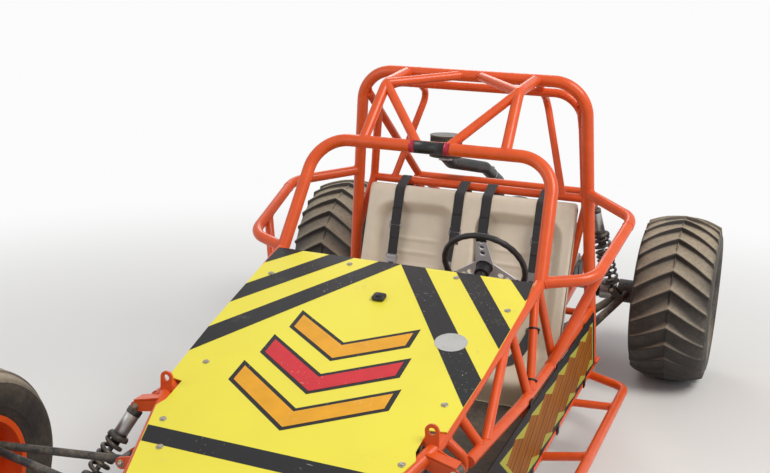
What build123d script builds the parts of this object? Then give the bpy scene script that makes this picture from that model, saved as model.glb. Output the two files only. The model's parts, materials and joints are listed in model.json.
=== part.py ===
"""Two-seat tube-frame dune buggy on paddle tyres, in millimetres.

Forward is -Y, the driver's left is +X, up is +Z, and the ground is Z = 0. The origin is on the
ground, under the middle of the vehicle's length and width.
"""

import math
import os

from build123d import *

os.makedirs("parts", exist_ok=True)

# Axles and tyres
WHEELBASE = 2820
FRONT_AXLE_Y = -1600
REAR_AXLE_Y = FRONT_AXLE_Y + WHEELBASE
FRONT_TRACK = 1900
REAR_TRACK = 1780
FRONT_TYRE_OD = 690
FRONT_TYRE_WIDTH = 200
REAR_TYRE_OD = 826
REAR_TYRE_WIDTH = 370
RIM_RADIUS = 190
RIM_LIP = 14
RIM_WALL = 5
FRONT_RIM_WIDTH = 152
REAR_RIM_WIDTH = 280
PADDLE_COUNT = 28
PADDLE_HEIGHT = 30
PADDLE_THICKNESS = 20
PADDLE_SWEEP = 46
PADDLE_DROP = 46
FRONT_RIB_HEIGHT = 9

# Tube sizes and the running gaps between pieces
HOOP_OD = 50.8
RAIL_OD = 44
STRUT_OD = 38
BRACE_OD = 32
THIN_OD = 25
WELD_GAP = 0.3
SEAT_GAP = 0.3
RUN_GAP = 0.5
SEAM_TURN = 37

# Stations of the frame, on its left side
FLOOR_Z = 225
FLOOR_HALF = 596
MAIN_TOP = (0, 449, 1505)
MAIN_CORNER_X = 505
MAIN_HIP = (538, 506, 1030)
MAIN_FOOT = (FLOOR_HALF, 603, FLOOR_Z)
FOOT_PLATE = 6
MAIN_LEAN = (MAIN_FOOT[1] - MAIN_TOP[1]) / (MAIN_TOP[2] - MAIN_FOOT[2])
REAR_HOOP_SETBACK = 100
REAR_HOOP_INSET = 38
REAR_HOOP_DROP = 60
REAR_HOOP_FOOT_Z = 720
COWL = (529, -273, 831)
SCREEN_TOP = (0, -25, 1250)
SCREEN_CORNER_X = 497
ROOF_RAIL_X = 290
ROOF_KNEE = (286, 179, 1474)
SHOULDER = (463, -1191, 567)
NOSE_TOP = (285, -1760, 403)
NOSE_FLOOR = (262, -1760, FLOOR_Z)
NOSE_CROSS_Y = (-1735, -1180)
BUMPER = (250, -1895, 330)
FLOOR_NARROW_Y = -1255
FLOOR_WIDE_Y = -760
MID_REAR = (578, 571, 490)
MID_KNEE = (577, -620, 505)
MID_FRONT = (545, -1140, 512)
HIP_REAR = (765, 270, 992)
HIP_FRONT = (712, -190, 850)
REAR_CORNER = (440, 1060, 930)
REAR_SHOCK_TOP = (472, 1060, 868)
REAR_SHOCK_FOOT = (588, 1112, 445)
TAIL_Y = FRONT_TYRE_OD / 2 - FRONT_AXLE_Y - STRUT_OD / 2
TAIL_Z = 560
CAGE_KNEE = (400, 1640, 640)
HARNESS_BAR_Z = 985

# Hood, panels and floor
SHEET = 4
HOOD_NOSE_Y = -1722
HOOD_REAR_Y = -325
SIDE_PANEL_TOP_Z = 492
SIDE_PANEL_BOTTOM_Z = 256
PANEL_TABS = (-600, -190, 330)

# Steering and front suspension
KINGPIN_INSET = 85
KINGPIN_X = FRONT_TRACK / 2 - KINGPIN_INSET
LOWER_BALL_Z = 240
UPPER_BALL_Z = 455
STEER_ARM = 120
STEER_EYE_INSET = 10
STEER_EYE_RADIUS = 16
KNUCKLE_BLOCK = (34, 52)
KNUCKLE_BOSS = (38, 26)
STUD_RADIUS = 8
STUD_LENGTH = 22
BALL_RADIUS = 23
BALL_HEIGHT = 36
TIE_ROD_RADIUS = 11
TIE_END_RADIUS = 18
SPINDLE_RADIUS = 19
FRONT_SHOCK_TOP = (540, -1240, 525)
PERCH = (652, -1388, 236)
SHOCK_EYE = 17
SHOCK_EYE_LENGTH = 38
SHOCK_NECK = 36
SHOCK_ROD = 9
EAR = 5
EAR_ROOT = 3
TOWER_GAP = 1
BOLT_RADIUS = 6
TIE_RING = (452, -1212, 622)
TIE_RING_HOLE = 11
TIE_RING_PLATE = 8
TIE_RING_WALL = 11
STEERING_WHEEL_CENTRE = (250, -45, 800)
STEERING_WHEEL_RADIUS = 165
STEERING_WHEEL_GRIP = 22
SPOKE_ANGLES = (90, 210, 330)
SPOKE_SHEET = 5
SPOKE_ROOT = 74
SPOKE_TIP = 34
SPOKE_HOLES = ((0.80, 6.5), (0.64, 10), (0.45, 12))
COLUMN_TILT = 30
RACK_Y = FRONT_AXLE_Y + STEER_ARM
RACK_Z = 278
CLAMP_WALL = 4.5

BUSH_RADIUS = 19
BUSH_LENGTH = 44
UPPER_BUSH_X = 418
UPPER_BUSH_Z = 462

# Hubs and driveline
HUB_LENGTH = 42
DRIVE_STUB_RADIUS = 22

# Seat and harness
SEAT_HALF = 490
SEAT_TOP_Z = 972
SEAT_FRONT_Y = -85
BACK_FOOT = (345, 345)
BACK_LEAN = 15.9
BACK_ROLL = 32
SHELL_HEEL = (430, 330)
CUSHION_FRONT = (-60, 352)
CUSHION_HEEL = (300, 322)
BUCKET_PITCH = 485
BUCKET_WIDTH = 420
BUCKET_CORNER = 105
BUCKET_SLOPE = 45
BACK_RECESS = 42
CUSHION_RECESS = 28
STRAP_WIDTH = 46
STRAP_THICKNESS = 3
STRAP_X = (-335, -45, 85, 335)
STRAP_END_Z = 640
STRAP_TAIL_Z = 905

# Pedals and shifter
PEDAL_X = (165, 305, 375)
PEDAL_Y = -1010
PEDAL_PAD_Z = 425
SHIFTER_Y = -190
SHIFTER_TOP = 540


def tube(points, diameter, bend=0.0, mode=Mode.ADD):
    """Round tube along a run of points, with an arc of radius bend at each corner."""
    with BuildLine(mode=Mode.PRIVATE) as run:
        if len(points) > 2:
            FilletPolyline(*points, radius=bend)
        else:
            Line(*points)
    start = Plane(origin=run.line @ 0, z_dir=run.line % 0)
    seam = start.x_dir.rotate(Axis((0, 0, 0), start.z_dir), SEAM_TURN)
    with BuildSketch(Plane(origin=start.origin, x_dir=seam, z_dir=start.z_dir)) as section:
        Circle(diameter / 2)
    sweep(section.sketch, path=run.line, mode=mode)


def add_runs(runs):
    """Weld every run of a list, each given as points, diameter and bend radius."""
    for points, diameter, bend in runs:
        tube(points, diameter, bend)


def cope(*run_lists):
    """Cut the saddle where a tube of another piece passes, with the weld gap all round it."""
    for runs in run_lists:
        for points, diameter, bend in runs:
            tube(points, diameter + 2 * WELD_GAP, bend, mode=Mode.SUBTRACT)


def both_sides(points):
    """A run over the middle plane, from its left half: mirrored points, then the given ones."""
    left = list(points)
    return [(-x, y, z) for x, y, z in left] + left[::-1]


def mirrored(runs):
    """The runs of a list together with their mirror images on the right side."""
    return runs + [([(-x, y, z) for x, y, z in points], d, b) for points, d, b in runs]


def between(a, b, share):
    """The point at a share of the way from a to b."""
    return tuple(p + (q - p) * share for p, q in zip(a, b))


def on_main_hoop(x, z):
    """A point in the leaning plane of the main hoop."""
    return (x, MAIN_TOP[1] + MAIN_LEAN * (MAIN_TOP[2] - z), z)


def on_screen_hoop(x, z):
    """A point in the leaning plane of the windscreen hoop."""
    lean = (COWL[1] - SCREEN_TOP[1]) / (COWL[2] - SCREEN_TOP[2])
    return (x, SCREEN_TOP[1] + lean * (z - SCREEN_TOP[2]), z)


def upper_rail(y):
    """The centre of the left upper side rail at a station y."""
    a, b = (SHOULDER, COWL) if y > SHOULDER[1] else (NOSE_TOP, SHOULDER)
    return between(a, b, (y - a[1]) / (b[1] - a[1]))


def mid_rail(y):
    """The centre of the left middle side rail at a station y."""
    a, b = (MID_KNEE, MID_REAR) if y > MID_KNEE[1] else (MID_FRONT, MID_KNEE)
    return between(a, b, (y - a[1]) / (b[1] - a[1]))


def along(centre):
    """A straight rail along Y through a point, as a function of the station."""
    return lambda y: centre


def finish(piece, name):
    """Label a finished piece and write it."""
    piece.part.label = name
    export_step(piece.part, "parts/" + name + ".step")


# Runs of the frame
floor_bend = 140
main_leg_slope = (MAIN_FOOT[0] - MAIN_HIP[0]) / (MAIN_HIP[2] - MAIN_FOOT[2])
floor_kink = (FLOOR_HALF, 680, FLOOR_Z)
cradle_front = (330, 900, 260)
floor_tail = (300, 1730, 300)
floor_runs = mirrored([
    ([NOSE_FLOOR, (NOSE_FLOOR[0], FLOOR_NARROW_Y, FLOOR_Z), (FLOOR_HALF, FLOOR_WIDE_Y, FLOOR_Z),
      floor_kink, cradle_front, floor_tail], RAIL_OD, floor_bend),
])
floor_cross = [([(-x, y, z), (x, y, z)], BRACE_OD, 0) for x, y, z in (
    (NOSE_FLOOR[0], RACK_Y, FLOOR_Z),
    (FLOOR_HALF, -700, FLOOR_Z),
    (FLOOR_HALF, -150, FLOOR_Z),
    (FLOOR_HALF, 420, FLOOR_Z),
    cradle_front,
    floor_tail,
)]
tank_shelf_z = 470
shelf_y = on_main_hoop(0, tank_shelf_z)[1]
shelf_half = MAIN_FOOT[0] - main_leg_slope * (tank_shelf_z - FLOOR_Z)
shelf_runs = [
    ([(-shelf_half, shelf_y, tank_shelf_z), (shelf_half, shelf_y, tank_shelf_z)], BRACE_OD, 0),
] + [([(s * 200, shelf_y, tank_shelf_z), (s * 200, shelf_y + 290, tank_shelf_z)], THIN_OD, 0)
     for s in (-1, 1)]
foot_z = FLOOR_Z + RAIL_OD / 2 + WELD_GAP + FOOT_PLATE
main_foot = on_main_hoop(MAIN_FOOT[0] - main_leg_slope * (foot_z - FLOOR_Z), foot_z)
main_runs = [
    (both_sides([main_foot, MAIN_HIP, on_main_hoop(MAIN_CORNER_X, MAIN_TOP[2] - 2)]),
     HOOP_OD, 150),
]
harness_y = on_main_hoop(0, HARNESS_BAR_Z)[1] + REAR_HOOP_SETBACK
rear_hoop_foot = on_main_hoop(MAIN_FOOT[0] - main_leg_slope * (REAR_HOOP_FOOT_Z - FLOOR_Z),
                               REAR_HOOP_FOOT_Z)
rear_hoop_waist = (506, harness_y, HARNESS_BAR_Z)
rear_hoop_top = MAIN_TOP[2] - REAR_HOOP_DROP
rear_hoop_corner = (MAIN_CORNER_X - REAR_HOOP_INSET,
                    on_main_hoop(0, rear_hoop_top)[1] + REAR_HOOP_SETBACK, rear_hoop_top)
rear_hoop_runs = [
    (both_sides([rear_hoop_foot, rear_hoop_waist, rear_hoop_corner]), STRUT_OD, 130),
]
screen_corner = on_screen_hoop(SCREEN_CORNER_X, SCREEN_TOP[2])
screen_runs = [(both_sides([COWL, on_screen_hoop(512, 1063), screen_corner]), HOOP_OD, 150)]
roof_front = (ROOF_RAIL_X + 10, SCREEN_TOP[1], SCREEN_TOP[2])
roof_rear = (ROOF_RAIL_X, MAIN_TOP[1], MAIN_TOP[2])
roof_runs = [([roof_front, ROOF_KNEE, roof_rear], RAIL_OD, 90)]
roof_braces = [
    ([ROOF_KNEE, (57, SCREEN_TOP[1], SCREEN_TOP[2])], STRUT_OD, 0),
    ([ROOF_KNEE, (34, MAIN_TOP[1], MAIN_TOP[2])], STRUT_OD, 0),
]
upper_runs = [([NOSE_TOP, SHOULDER, COWL], RAIL_OD, 220)]
mid_runs = [([MID_FRONT, MID_KNEE, MID_REAR], STRUT_OD, 400)]
post_foot = (NOSE_FLOOR[0] + (FLOOR_HALF - NOSE_FLOOR[0]) * (MID_FRONT[1] - FLOOR_NARROW_Y)
             / (FLOOR_WIDE_Y - FLOOR_NARROW_Y), MID_FRONT[1], FLOOR_Z)
floor_at = {y: (FLOOR_HALF, y, FLOOR_Z) for y in (-585, -160, 180)}
truss_runs = [
    ([upper_rail(-1150), MID_FRONT, post_foot], BRACE_OD, 40),
    ([upper_rail(-1040), mid_rail(-1030)], BRACE_OD, 0),
    ([mid_rail(-1000), upper_rail(-610)], BRACE_OD, 0),
    ([upper_rail(-585), mid_rail(-560)], BRACE_OD, 0),
    ([mid_rail(-530), upper_rail(-330)], BRACE_OD, 0),
    ([upper_rail(-300), mid_rail(-175)], BRACE_OD, 0),
    ([mid_rail(-585), floor_at[-585]], BRACE_OD, 0),
    ([mid_rail(180), floor_at[180]], BRACE_OD, 0),
]
hip_runs = [([MAIN_HIP, HIP_REAR, HIP_FRONT, COWL], RAIL_OD, 120)]
hip_strut = [([mid_rail(-230), between(HIP_FRONT, HIP_REAR, 0.35)], STRUT_OD, 0)]
bar_out = 785
bar_front_y = -890
bar_root = (NOSE_FLOOR[0] + (FLOOR_HALF - NOSE_FLOOR[0]) * (bar_front_y - FLOOR_NARROW_Y)
            / (FLOOR_WIDE_Y - FLOOR_NARROW_Y), bar_front_y, FLOOR_Z)
side_bar_runs = [
    ([(FLOOR_HALF, 480, FLOOR_Z), (bar_out, 380, FLOOR_Z), (bar_out, -740, 280), bar_root],
     STRUT_OD, 90),
]
side_bar_stubs = [
    ([(FLOOR_HALF, 120, FLOOR_Z), (bar_out, 120, 238)], BRACE_OD, 0),
    ([(FLOOR_HALF, -430, FLOOR_Z), (bar_out, -430, 265)], BRACE_OD, 0),
]
tail = (330, TAIL_Y, TAIL_Z)
cage_runs = mirrored([
    ([on_main_hoop(MAIN_CORNER_X - 20, 1400), REAR_CORNER, CAGE_KNEE, tail],
     STRUT_OD, 160),
])
cage_braces = mirrored([
    ([on_main_hoop(577, 500), REAR_CORNER], STRUT_OD, 0),
    ([REAR_CORNER, (331, 1120, 268)], STRUT_OD, 0),
    ([CAGE_KNEE, (303, 1700, 297)], STRUT_OD, 0),
])
cage_cross = [
    ([(-REAR_CORNER[0], REAR_CORNER[1], REAR_CORNER[2]), REAR_CORNER], STRUT_OD, 0),
    ([(-tail[0], tail[1], tail[2]), tail], STRUT_OD, 0),
]
harness_runs = [([(-500, harness_y, HARNESS_BAR_Z), (500, harness_y, HARNESS_BAR_Z)],
                 STRUT_OD, 0)]
seat_braces = mirrored([
    ([(ROOF_RAIL_X, MAIN_TOP[1], MAIN_TOP[2]), (286, 700, 1392),
      (405, harness_y, HARNESS_BAR_Z)], BRACE_OD, 70),
])

lower_bush_x = NOSE_FLOOR[0] + RAIL_OD / 2 + BUSH_RADIUS + SEAT_GAP
lower_pivots = [(lower_bush_x, -1345, FLOOR_Z), (lower_bush_x, -1690, FLOOR_Z)]
upper_pivots = [(UPPER_BUSH_X, -1480, UPPER_BUSH_Z), (UPPER_BUSH_X, -1670, UPPER_BUSH_Z)]


def ear_pair(rail_at, rail_radius, eye, eye_radius, eye_length):
    """Two ears from a tube to either end of a bolt eye that lies along Y, with the bolt."""
    reach = eye_length / 2 + SEAT_GAP
    for y in (eye[1] - reach, eye[1] + reach + EAR):
        rail = rail_at(y - EAR / 2)
        with BuildSketch(Plane(origin=(0, y, 0), x_dir=(1, 0, 0), z_dir=(0, -1, 0))) as ear:
            with Locations((rail[0], rail[2])):
                Circle(rail_radius - EAR_ROOT)
            with Locations((eye[0], eye[2])):
                Circle(eye_radius)
            make_hull()
        extrude(ear.sketch, amount=EAR)
    with BuildSketch(Plane(origin=(eye[0], eye[1] + reach + EAR, eye[2]), z_dir=(0, -1, 0))) as pin:
        Circle(BOLT_RADIUS)
    extrude(pin.sketch, amount=2 * (reach + EAR))


def tower_plate(rail, rail_radius, eye, eye_radius, eye_length):
    """The folded plate over a pair of ears, tangent to the tube and to the ears' round ends."""
    reach = eye_length / 2 + SEAT_GAP + EAR
    run = (eye[0] - rail[0], eye[2] - rail[2])
    length = math.hypot(*run)
    lean = math.atan2(run[1], run[0]) + math.asin((eye_radius - rail_radius) / length)
    out = (-math.sin(lean), math.cos(lean))
    with BuildSketch(Plane(origin=(0, eye[1] + reach, 0), x_dir=(1, 0, 0),
                           z_dir=(0, -1, 0))) as plate:
        with BuildLine():
            Polyline([(x + out[0] * r, z + out[1] * r) for x, z, r in (
                (rail[0], rail[2], rail_radius), (eye[0], eye[2], eye_radius),
                (eye[0], eye[2], eye_radius - EAR), (rail[0], rail[2], rail_radius - EAR))],
                     close=True)
        make_face()
    extrude(plate.sketch, amount=2 * reach)


def bolt_bore(eye, length):
    """The bore through an eye that lies along Y."""
    with BuildSketch(Plane(origin=(eye[0], eye[1] + length / 2, eye[2]), z_dir=(0, -1, 0))) as b:
        Circle(BOLT_RADIUS + RUN_GAP)
    extrude(b.sketch, amount=length, mode=Mode.SUBTRACT)


# Floor frame with the engine cradle and the ears of the lower arms
with BuildPart() as floor_frame:
    add_runs(floor_runs)
    add_runs(floor_cross)
    for side in (1, -1):
        for x, y, z in lower_pivots:
            ear_pair(along((side * NOSE_FLOOR[0], y, z)), RAIL_OD / 2, (side * x, y, z),
                     BUSH_RADIUS, BUSH_LENGTH)
finish(floor_frame, "floor_frame")

# Main roll hoop behind the seats, on its foot plates
with BuildPart() as main_hoop:
    add_runs(main_runs + shelf_runs)
    for side in (1, -1):
        with Locations((side * main_foot[0], main_foot[1], foot_z - FOOT_PLATE / 2)):
            Box(1.5 * HOOP_OD, 1.4 * HOOP_OD, FOOT_PLATE)
finish(main_hoop, "main_hoop")

# Windscreen hoop
with BuildPart() as screen_hoop:
    add_runs(screen_runs)
    cope([(r, d, b) for r, d, b in mirrored(upper_runs)])
finish(screen_hoop, "screen_hoop")

# Roof rails, each with its two braces
with BuildPart() as roof_rails:
    add_runs(mirrored(roof_runs + roof_braces))
    cope(screen_runs, main_runs)
finish(roof_rails, "roof_rails")

# Side trusses
with BuildPart() as side_truss_left:
    add_runs(upper_runs + mid_runs + truss_runs)
    for pivot in upper_pivots:
        ear_pair(upper_rail, RAIL_OD / 2, pivot, BUSH_RADIUS, BUSH_LENGTH)
    ear_pair(upper_rail, RAIL_OD / 2, FRONT_SHOCK_TOP, SHOCK_EYE, SHOCK_EYE_LENGTH)
    tower_plate(upper_rail(FRONT_SHOCK_TOP[1]), RAIL_OD / 2 - EAR_ROOT, FRONT_SHOCK_TOP,
                SHOCK_EYE + TOWER_GAP + EAR, SHOCK_EYE_LENGTH)
    with BuildSketch(Plane(origin=(0, TIE_RING[1] + TIE_RING_PLATE / 2, 0), x_dir=(1, 0, 0),
                           z_dir=(0, -1, 0))):
        with Locations((upper_rail(TIE_RING[1])[0], upper_rail(TIE_RING[1])[2])):
            Circle(RAIL_OD / 2 - EAR_ROOT)
        with Locations((TIE_RING[0], TIE_RING[2])):
            Circle(TIE_RING_HOLE + TIE_RING_WALL)
        make_hull()
        with Locations((TIE_RING[0], TIE_RING[2])):
            Circle(TIE_RING_HOLE, mode=Mode.SUBTRACT)
    extrude(amount=TIE_RING_PLATE)
    cope(floor_runs, main_runs)
finish(side_truss_left, "side_truss_left")

with BuildPart() as side_truss_right:
    mirror(side_truss_left.part, about=Plane.YZ)
finish(side_truss_right, "side_truss_right")

# Hip bars at elbow height
with BuildPart() as hip_bar_left:
    add_runs(hip_runs + hip_strut)
    cope(main_runs, upper_runs, mid_runs, screen_runs, truss_runs)
finish(hip_bar_left, "hip_bar_left")

with BuildPart() as hip_bar_right:
    mirror(hip_bar_left.part, about=Plane.YZ)
finish(hip_bar_right, "hip_bar_right")

# Side bars beside the floor
with BuildPart() as side_bar_left:
    add_runs(side_bar_runs + side_bar_stubs)
    cope(floor_runs)
finish(side_bar_left, "side_bar_left")

with BuildPart() as side_bar_right:
    mirror(side_bar_left.part, about=Plane.YZ)
finish(side_bar_right, "side_bar_right")

# Second hoop, harness bar and the braces up to the roof
with BuildPart() as rear_hoop:
    add_runs(rear_hoop_runs + harness_runs + seat_braces)
    cope(main_runs, mirrored(roof_runs))
finish(rear_hoop, "rear_hoop")

# Rear cage with the bumper
with BuildPart() as rear_cage:
    add_runs(cage_runs + cage_braces + cage_cross)
    for side in (1, -1):
        ear_pair(along((side * REAR_CORNER[0], 0, REAR_CORNER[2])), STRUT_OD / 2,
                 (side * REAR_SHOCK_TOP[0], REAR_SHOCK_TOP[1], REAR_SHOCK_TOP[2]), SHOCK_EYE,
                 SHOCK_EYE_LENGTH)
    cope(main_runs, rear_hoop_runs, floor_runs, floor_cross, mirrored(mid_runs))
finish(rear_cage, "rear_cage")

# Nose frame: posts, cross tubes and the front bumper
nose_post = (NOSE_FLOOR[0], NOSE_FLOOR[1] + 20, FLOOR_Z)
nose_cross = [
    ([(-upper_rail(y)[0], y, upper_rail(y)[2]), upper_rail(y)], BRACE_OD, 0)
    for y in NOSE_CROSS_Y
]
dash_y = -345
dash_cross = [([(-upper_rail(dash_y)[0], dash_y, upper_rail(dash_y)[2]), upper_rail(dash_y)],
               BRACE_OD, 0)]
bumper_runs = [(both_sides([NOSE_TOP, BUMPER]), STRUT_OD, 70)]
with BuildPart() as nose_frame:
    add_runs(mirrored([([nose_post, upper_rail(nose_post[1])], BRACE_OD, 0)]))
    add_runs(nose_cross + bumper_runs + dash_cross)
    cope(mirrored(upper_runs), floor_runs, mirrored(mid_runs))
finish(nose_frame, "nose_frame")

# Hood panel on the upper rails
hood_slope = math.degrees(math.atan2(COWL[2] - SHOULDER[2], COWL[1] - SHOULDER[1]))
hood_normal = (0, -math.sin(math.radians(hood_slope)), math.cos(math.radians(hood_slope)))
hood_lift = RAIL_OD / 2 + SEAT_GAP
hood_plane = Plane(
    origin=(0, COWL[1] + hood_normal[1] * hood_lift, COWL[2] + hood_normal[2] * hood_lift),
    x_dir=(1, 0, 0), z_dir=hood_normal)


def on_hood(x, y):
    """Local hood coordinates of a station given in the vehicle's frame."""
    return (x, (y - hood_plane.origin.Y) / math.cos(math.radians(hood_slope)))


hood_half = [(515, HOOD_REAR_Y), (522, -470), (504, -880), (481, -1160), (424, -1168),
             (422, -1262), (436, -1296), (345, -1575), (298, HOOD_NOSE_Y)]
with BuildPart() as hood_panel:
    with BuildSketch(hood_plane):
        with BuildLine():
            Polyline([on_hood(x, y) for x, y in hood_half]
                     + [on_hood(-x, y) for x, y in hood_half[::-1]], close=True)
        make_face()
    extrude(amount=SHEET)
finish(hood_panel, "hood_panel")

# Side panels, hung outside the rails
panel_top_x = MID_REAR[0] + STRUT_OD / 2 + SEAT_GAP
panel_low_x = FLOOR_HALF + RAIL_OD / 2 + SEAT_GAP
panel_run = (panel_low_x - panel_top_x, SIDE_PANEL_TOP_Z - SIDE_PANEL_BOTTOM_Z)
panel_height = math.hypot(*panel_run)
panel_plane = Plane(origin=(panel_top_x, 0, SIDE_PANEL_TOP_Z), x_dir=(0, 1, 0),
                    z_dir=(panel_run[1], 0, panel_run[0]))
with BuildPart() as side_panel_left:
    with BuildSketch(panel_plane):
        with BuildLine():
            Polyline([(-1120, -6), (540, -2), (540, -panel_height), (-735, -panel_height)],
                     close=True)
        make_face()
    extrude(amount=SHEET)
    for y in PANEL_TABS:
        rail_x, _, rail_z = mid_rail(y)
        top_in = rail_x + STRUT_OD / 2 + SEAT_GAP
        low_in = FLOOR_HALF + RAIL_OD / 2 + SEAT_GAP
        with Locations(((top_in + panel_top_x + SHEET) / 2, y, rail_z - 10)):
            Box(panel_top_x + SHEET - top_in, 30, 34)
        with Locations((low_in + SHEET / 2, y, FLOOR_Z + 14)):
            Box(SHEET, 30, 44)
finish(side_panel_left, "side_panel_left")

with BuildPart() as side_panel_right:
    mirror(side_panel_left.part, about=Plane.YZ)
finish(side_panel_right, "side_panel_right")

# Floor pan on the cross tubes
pan_half = [(568, 560), (568, -752), (238, -1262), (236, -1700)]
with BuildPart() as floor_pan:
    with BuildSketch(Plane.XY.offset(FLOOR_Z + BRACE_OD / 2 + SEAT_GAP)):
        with BuildLine():
            Polyline(pan_half + [(-x, y) for x, y in pan_half[::-1]], close=True)
        make_face()
    extrude(amount=SHEET)
finish(floor_pan, "floor_pan")

# Wheels: one profile for every rim
wheel_table = [
    # name, x of the wheel centre, axle y, radius, rim width, tyre width, disc offset
    ("front", FRONT_TRACK / 2, FRONT_AXLE_Y, FRONT_TYRE_OD / 2, FRONT_RIM_WIDTH,
     FRONT_TYRE_WIDTH, 12),
    ("rear", REAR_TRACK / 2, REAR_AXLE_Y, REAR_TYRE_OD / 2, REAR_RIM_WIDTH,
     REAR_TYRE_WIDTH, 20),
]
hub_radius = 42
for end, wheel_x, axle_y, radius, rim_width, tyre_width, disc_x in wheel_table:
    centre = (wheel_x, axle_y, radius)
    profile_plane = Plane(origin=centre, x_dir=(1, 0, 0), z_dir=(0, -1, 0))
    axle = Axis(centre, (1, 0, 0))
    half = rim_width / 2
    inner = RIM_RADIUS - RIM_WALL
    bore = (SPINDLE_RADIUS if end == "front" else DRIVE_STUB_RADIUS) + RUN_GAP
    hub_in = disc_x - HUB_LENGTH
    with BuildPart() as rim:
        with BuildSketch(profile_plane):
            with BuildLine():
                Polyline(
                    (-half, inner), (-half, RIM_RADIUS + RIM_LIP),
                    (-half + RIM_WALL, RIM_RADIUS + RIM_LIP), (-half + RIM_WALL, RIM_RADIUS),
                    (half - RIM_WALL, RIM_RADIUS), (half - RIM_WALL, RIM_RADIUS + RIM_LIP),
                    (half, RIM_RADIUS + RIM_LIP), (half, inner),
                    (disc_x + RIM_WALL, inner), (disc_x + 18, hub_radius + 26),
                    (disc_x + RIM_WALL, hub_radius), (disc_x + 30, hub_radius - 12),
                    (disc_x + 30, bore), (hub_in, bore), (hub_in, hub_radius - 6),
                    (disc_x, hub_radius), (disc_x + 18 - RIM_WALL, hub_radius + 26),
                    (disc_x, inner), close=True)
            make_face()
        revolve(axis=axle)
        with BuildSketch(Plane(origin=centre, x_dir=(0, 1, 0), z_dir=(1, 0, 0))):
            with PolarLocations(128, 8):
                Circle(21)
        extrude(amount=half, mode=Mode.SUBTRACT)
    with BuildPart() as tyre:
        if end == "rear":
            step = 360 / PADDLE_COUNT
            root = radius - PADDLE_HEIGHT - 25
            directions = [math.radians(step * i) for i in range(PADDLE_COUNT)]
            planes = [
                Plane(origin=(wheel_x, axle_y + root * math.sin(t), radius + root * math.cos(t)),
                      x_dir=(1, 0, 0), z_dir=(0, math.sin(t), math.cos(t)))
                for t in directions
            ]
            arm = tyre_width / 2
            rise = PADDLE_SWEEP / 2
            thick = PADDLE_THICKNESS / 2
            with BuildSketch(*planes):
                with BuildLine():
                    Polyline((0, rise + thick), (arm, -rise + thick), (arm, -rise - thick),
                             (0, rise - thick), (-arm, -rise - thick), (-arm, -rise + thick),
                             close=True)
                make_face()
            extrude(amount=PADDLE_HEIGHT + 30)
            with BuildSketch(profile_plane):
                with BuildLine():
                    lug_top = ThreePointArc((-arm + 8, radius - PADDLE_DROP), (0, radius),
                                            (arm - 8, radius - PADDLE_DROP))
                    Polyline(lug_top @ 1, (arm - 8, root - 10), (-arm + 8, root - 10),
                             lug_top @ 0)
                make_face()
            revolve(axis=axle, mode=Mode.INTERSECT)
        crown = radius - (PADDLE_HEIGHT if end == "rear" else FRONT_RIB_HEIGHT)
        shoulder = (tyre_width / 2 - 22, crown - 22)
        side = tyre_width / 2
        bead = half - RIM_WALL - SEAT_GAP
        seat = RIM_RADIUS + SEAT_GAP
        with BuildSketch(profile_plane):
            with BuildLine():
                Polyline((-bead, seat + RIM_LIP + 4), (-bead, seat), (bead, seat),
                         (bead, seat + RIM_LIP + 4))
                ThreePointArc((bead, seat + RIM_LIP + 4),
                              (side, (seat + crown) / 2 + 10), shoulder)
                ThreePointArc(shoulder, (0, crown), (-shoulder[0], shoulder[1]))
                ThreePointArc((-shoulder[0], shoulder[1]),
                              (-side, (seat + crown) / 2 + 10), (-bead, seat + RIM_LIP + 4))
            make_face()
        revolve(axis=axle)
        if end == "front":
            for rib_x, rib_width, rib_top in ((0, 34, radius), (48, 16, radius - 5),
                                              (-48, 16, radius - 5)):
                with BuildSketch(profile_plane):
                    with Locations((rib_x, rib_top - 15)):
                        Rectangle(rib_width, 30)
                revolve(axis=axle)
    finish(rim, end + "_rim_left")
    finish(tyre, end + "_tyre_left")
    with BuildPart() as rim_right:
        mirror(rim.part, about=Plane.YZ)
    finish(rim_right, end + "_rim_right")
    with BuildPart() as tyre_right:
        mirror(tyre.part, about=Plane.YZ)
    finish(tyre_right, end + "_tyre_right")

# Knuckles with their spindles and steering arms
axle_z = FRONT_TYRE_OD / 2
with BuildPart() as knuckle_left:
    with Locations((KINGPIN_X, FRONT_AXLE_Y, (LOWER_BALL_Z + UPPER_BALL_Z) / 2)):
        Box(*KNUCKLE_BLOCK, UPPER_BALL_Z - LOWER_BALL_Z)
    for z, reach in ((UPPER_BALL_Z, STUD_LENGTH), (LOWER_BALL_Z, -STUD_LENGTH)):
        with BuildSketch(Plane.XY.offset(z)):
            with Locations((KINGPIN_X, FRONT_AXLE_Y)):
                Circle(STUD_RADIUS)
        extrude(amount=reach)
    with BuildSketch(Plane(origin=(KINGPIN_X, FRONT_AXLE_Y, axle_z), z_dir=(1, 0, 0))):
        Circle(KNUCKLE_BOSS[0])
    extrude(amount=KNUCKLE_BOSS[1])
    with BuildSketch(Plane(origin=(KINGPIN_X, FRONT_AXLE_Y, axle_z), z_dir=(1, 0, 0))):
        Circle(SPINDLE_RADIUS)
    extrude(amount=FRONT_TRACK / 2 + 46 - KINGPIN_X)
    with BuildSketch(Plane.XY.offset(RACK_Z + 16)):
        with Locations((KINGPIN_X, FRONT_AXLE_Y), (KINGPIN_X - STEER_EYE_INSET, RACK_Y)):
            Circle(STEER_EYE_RADIUS)
        make_hull()
    extrude(amount=12)
finish(knuckle_left, "knuckle_left")

with BuildPart() as knuckle_right:
    mirror(knuckle_left.part, about=Plane.YZ)
finish(knuckle_right, "knuckle_right")

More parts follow.
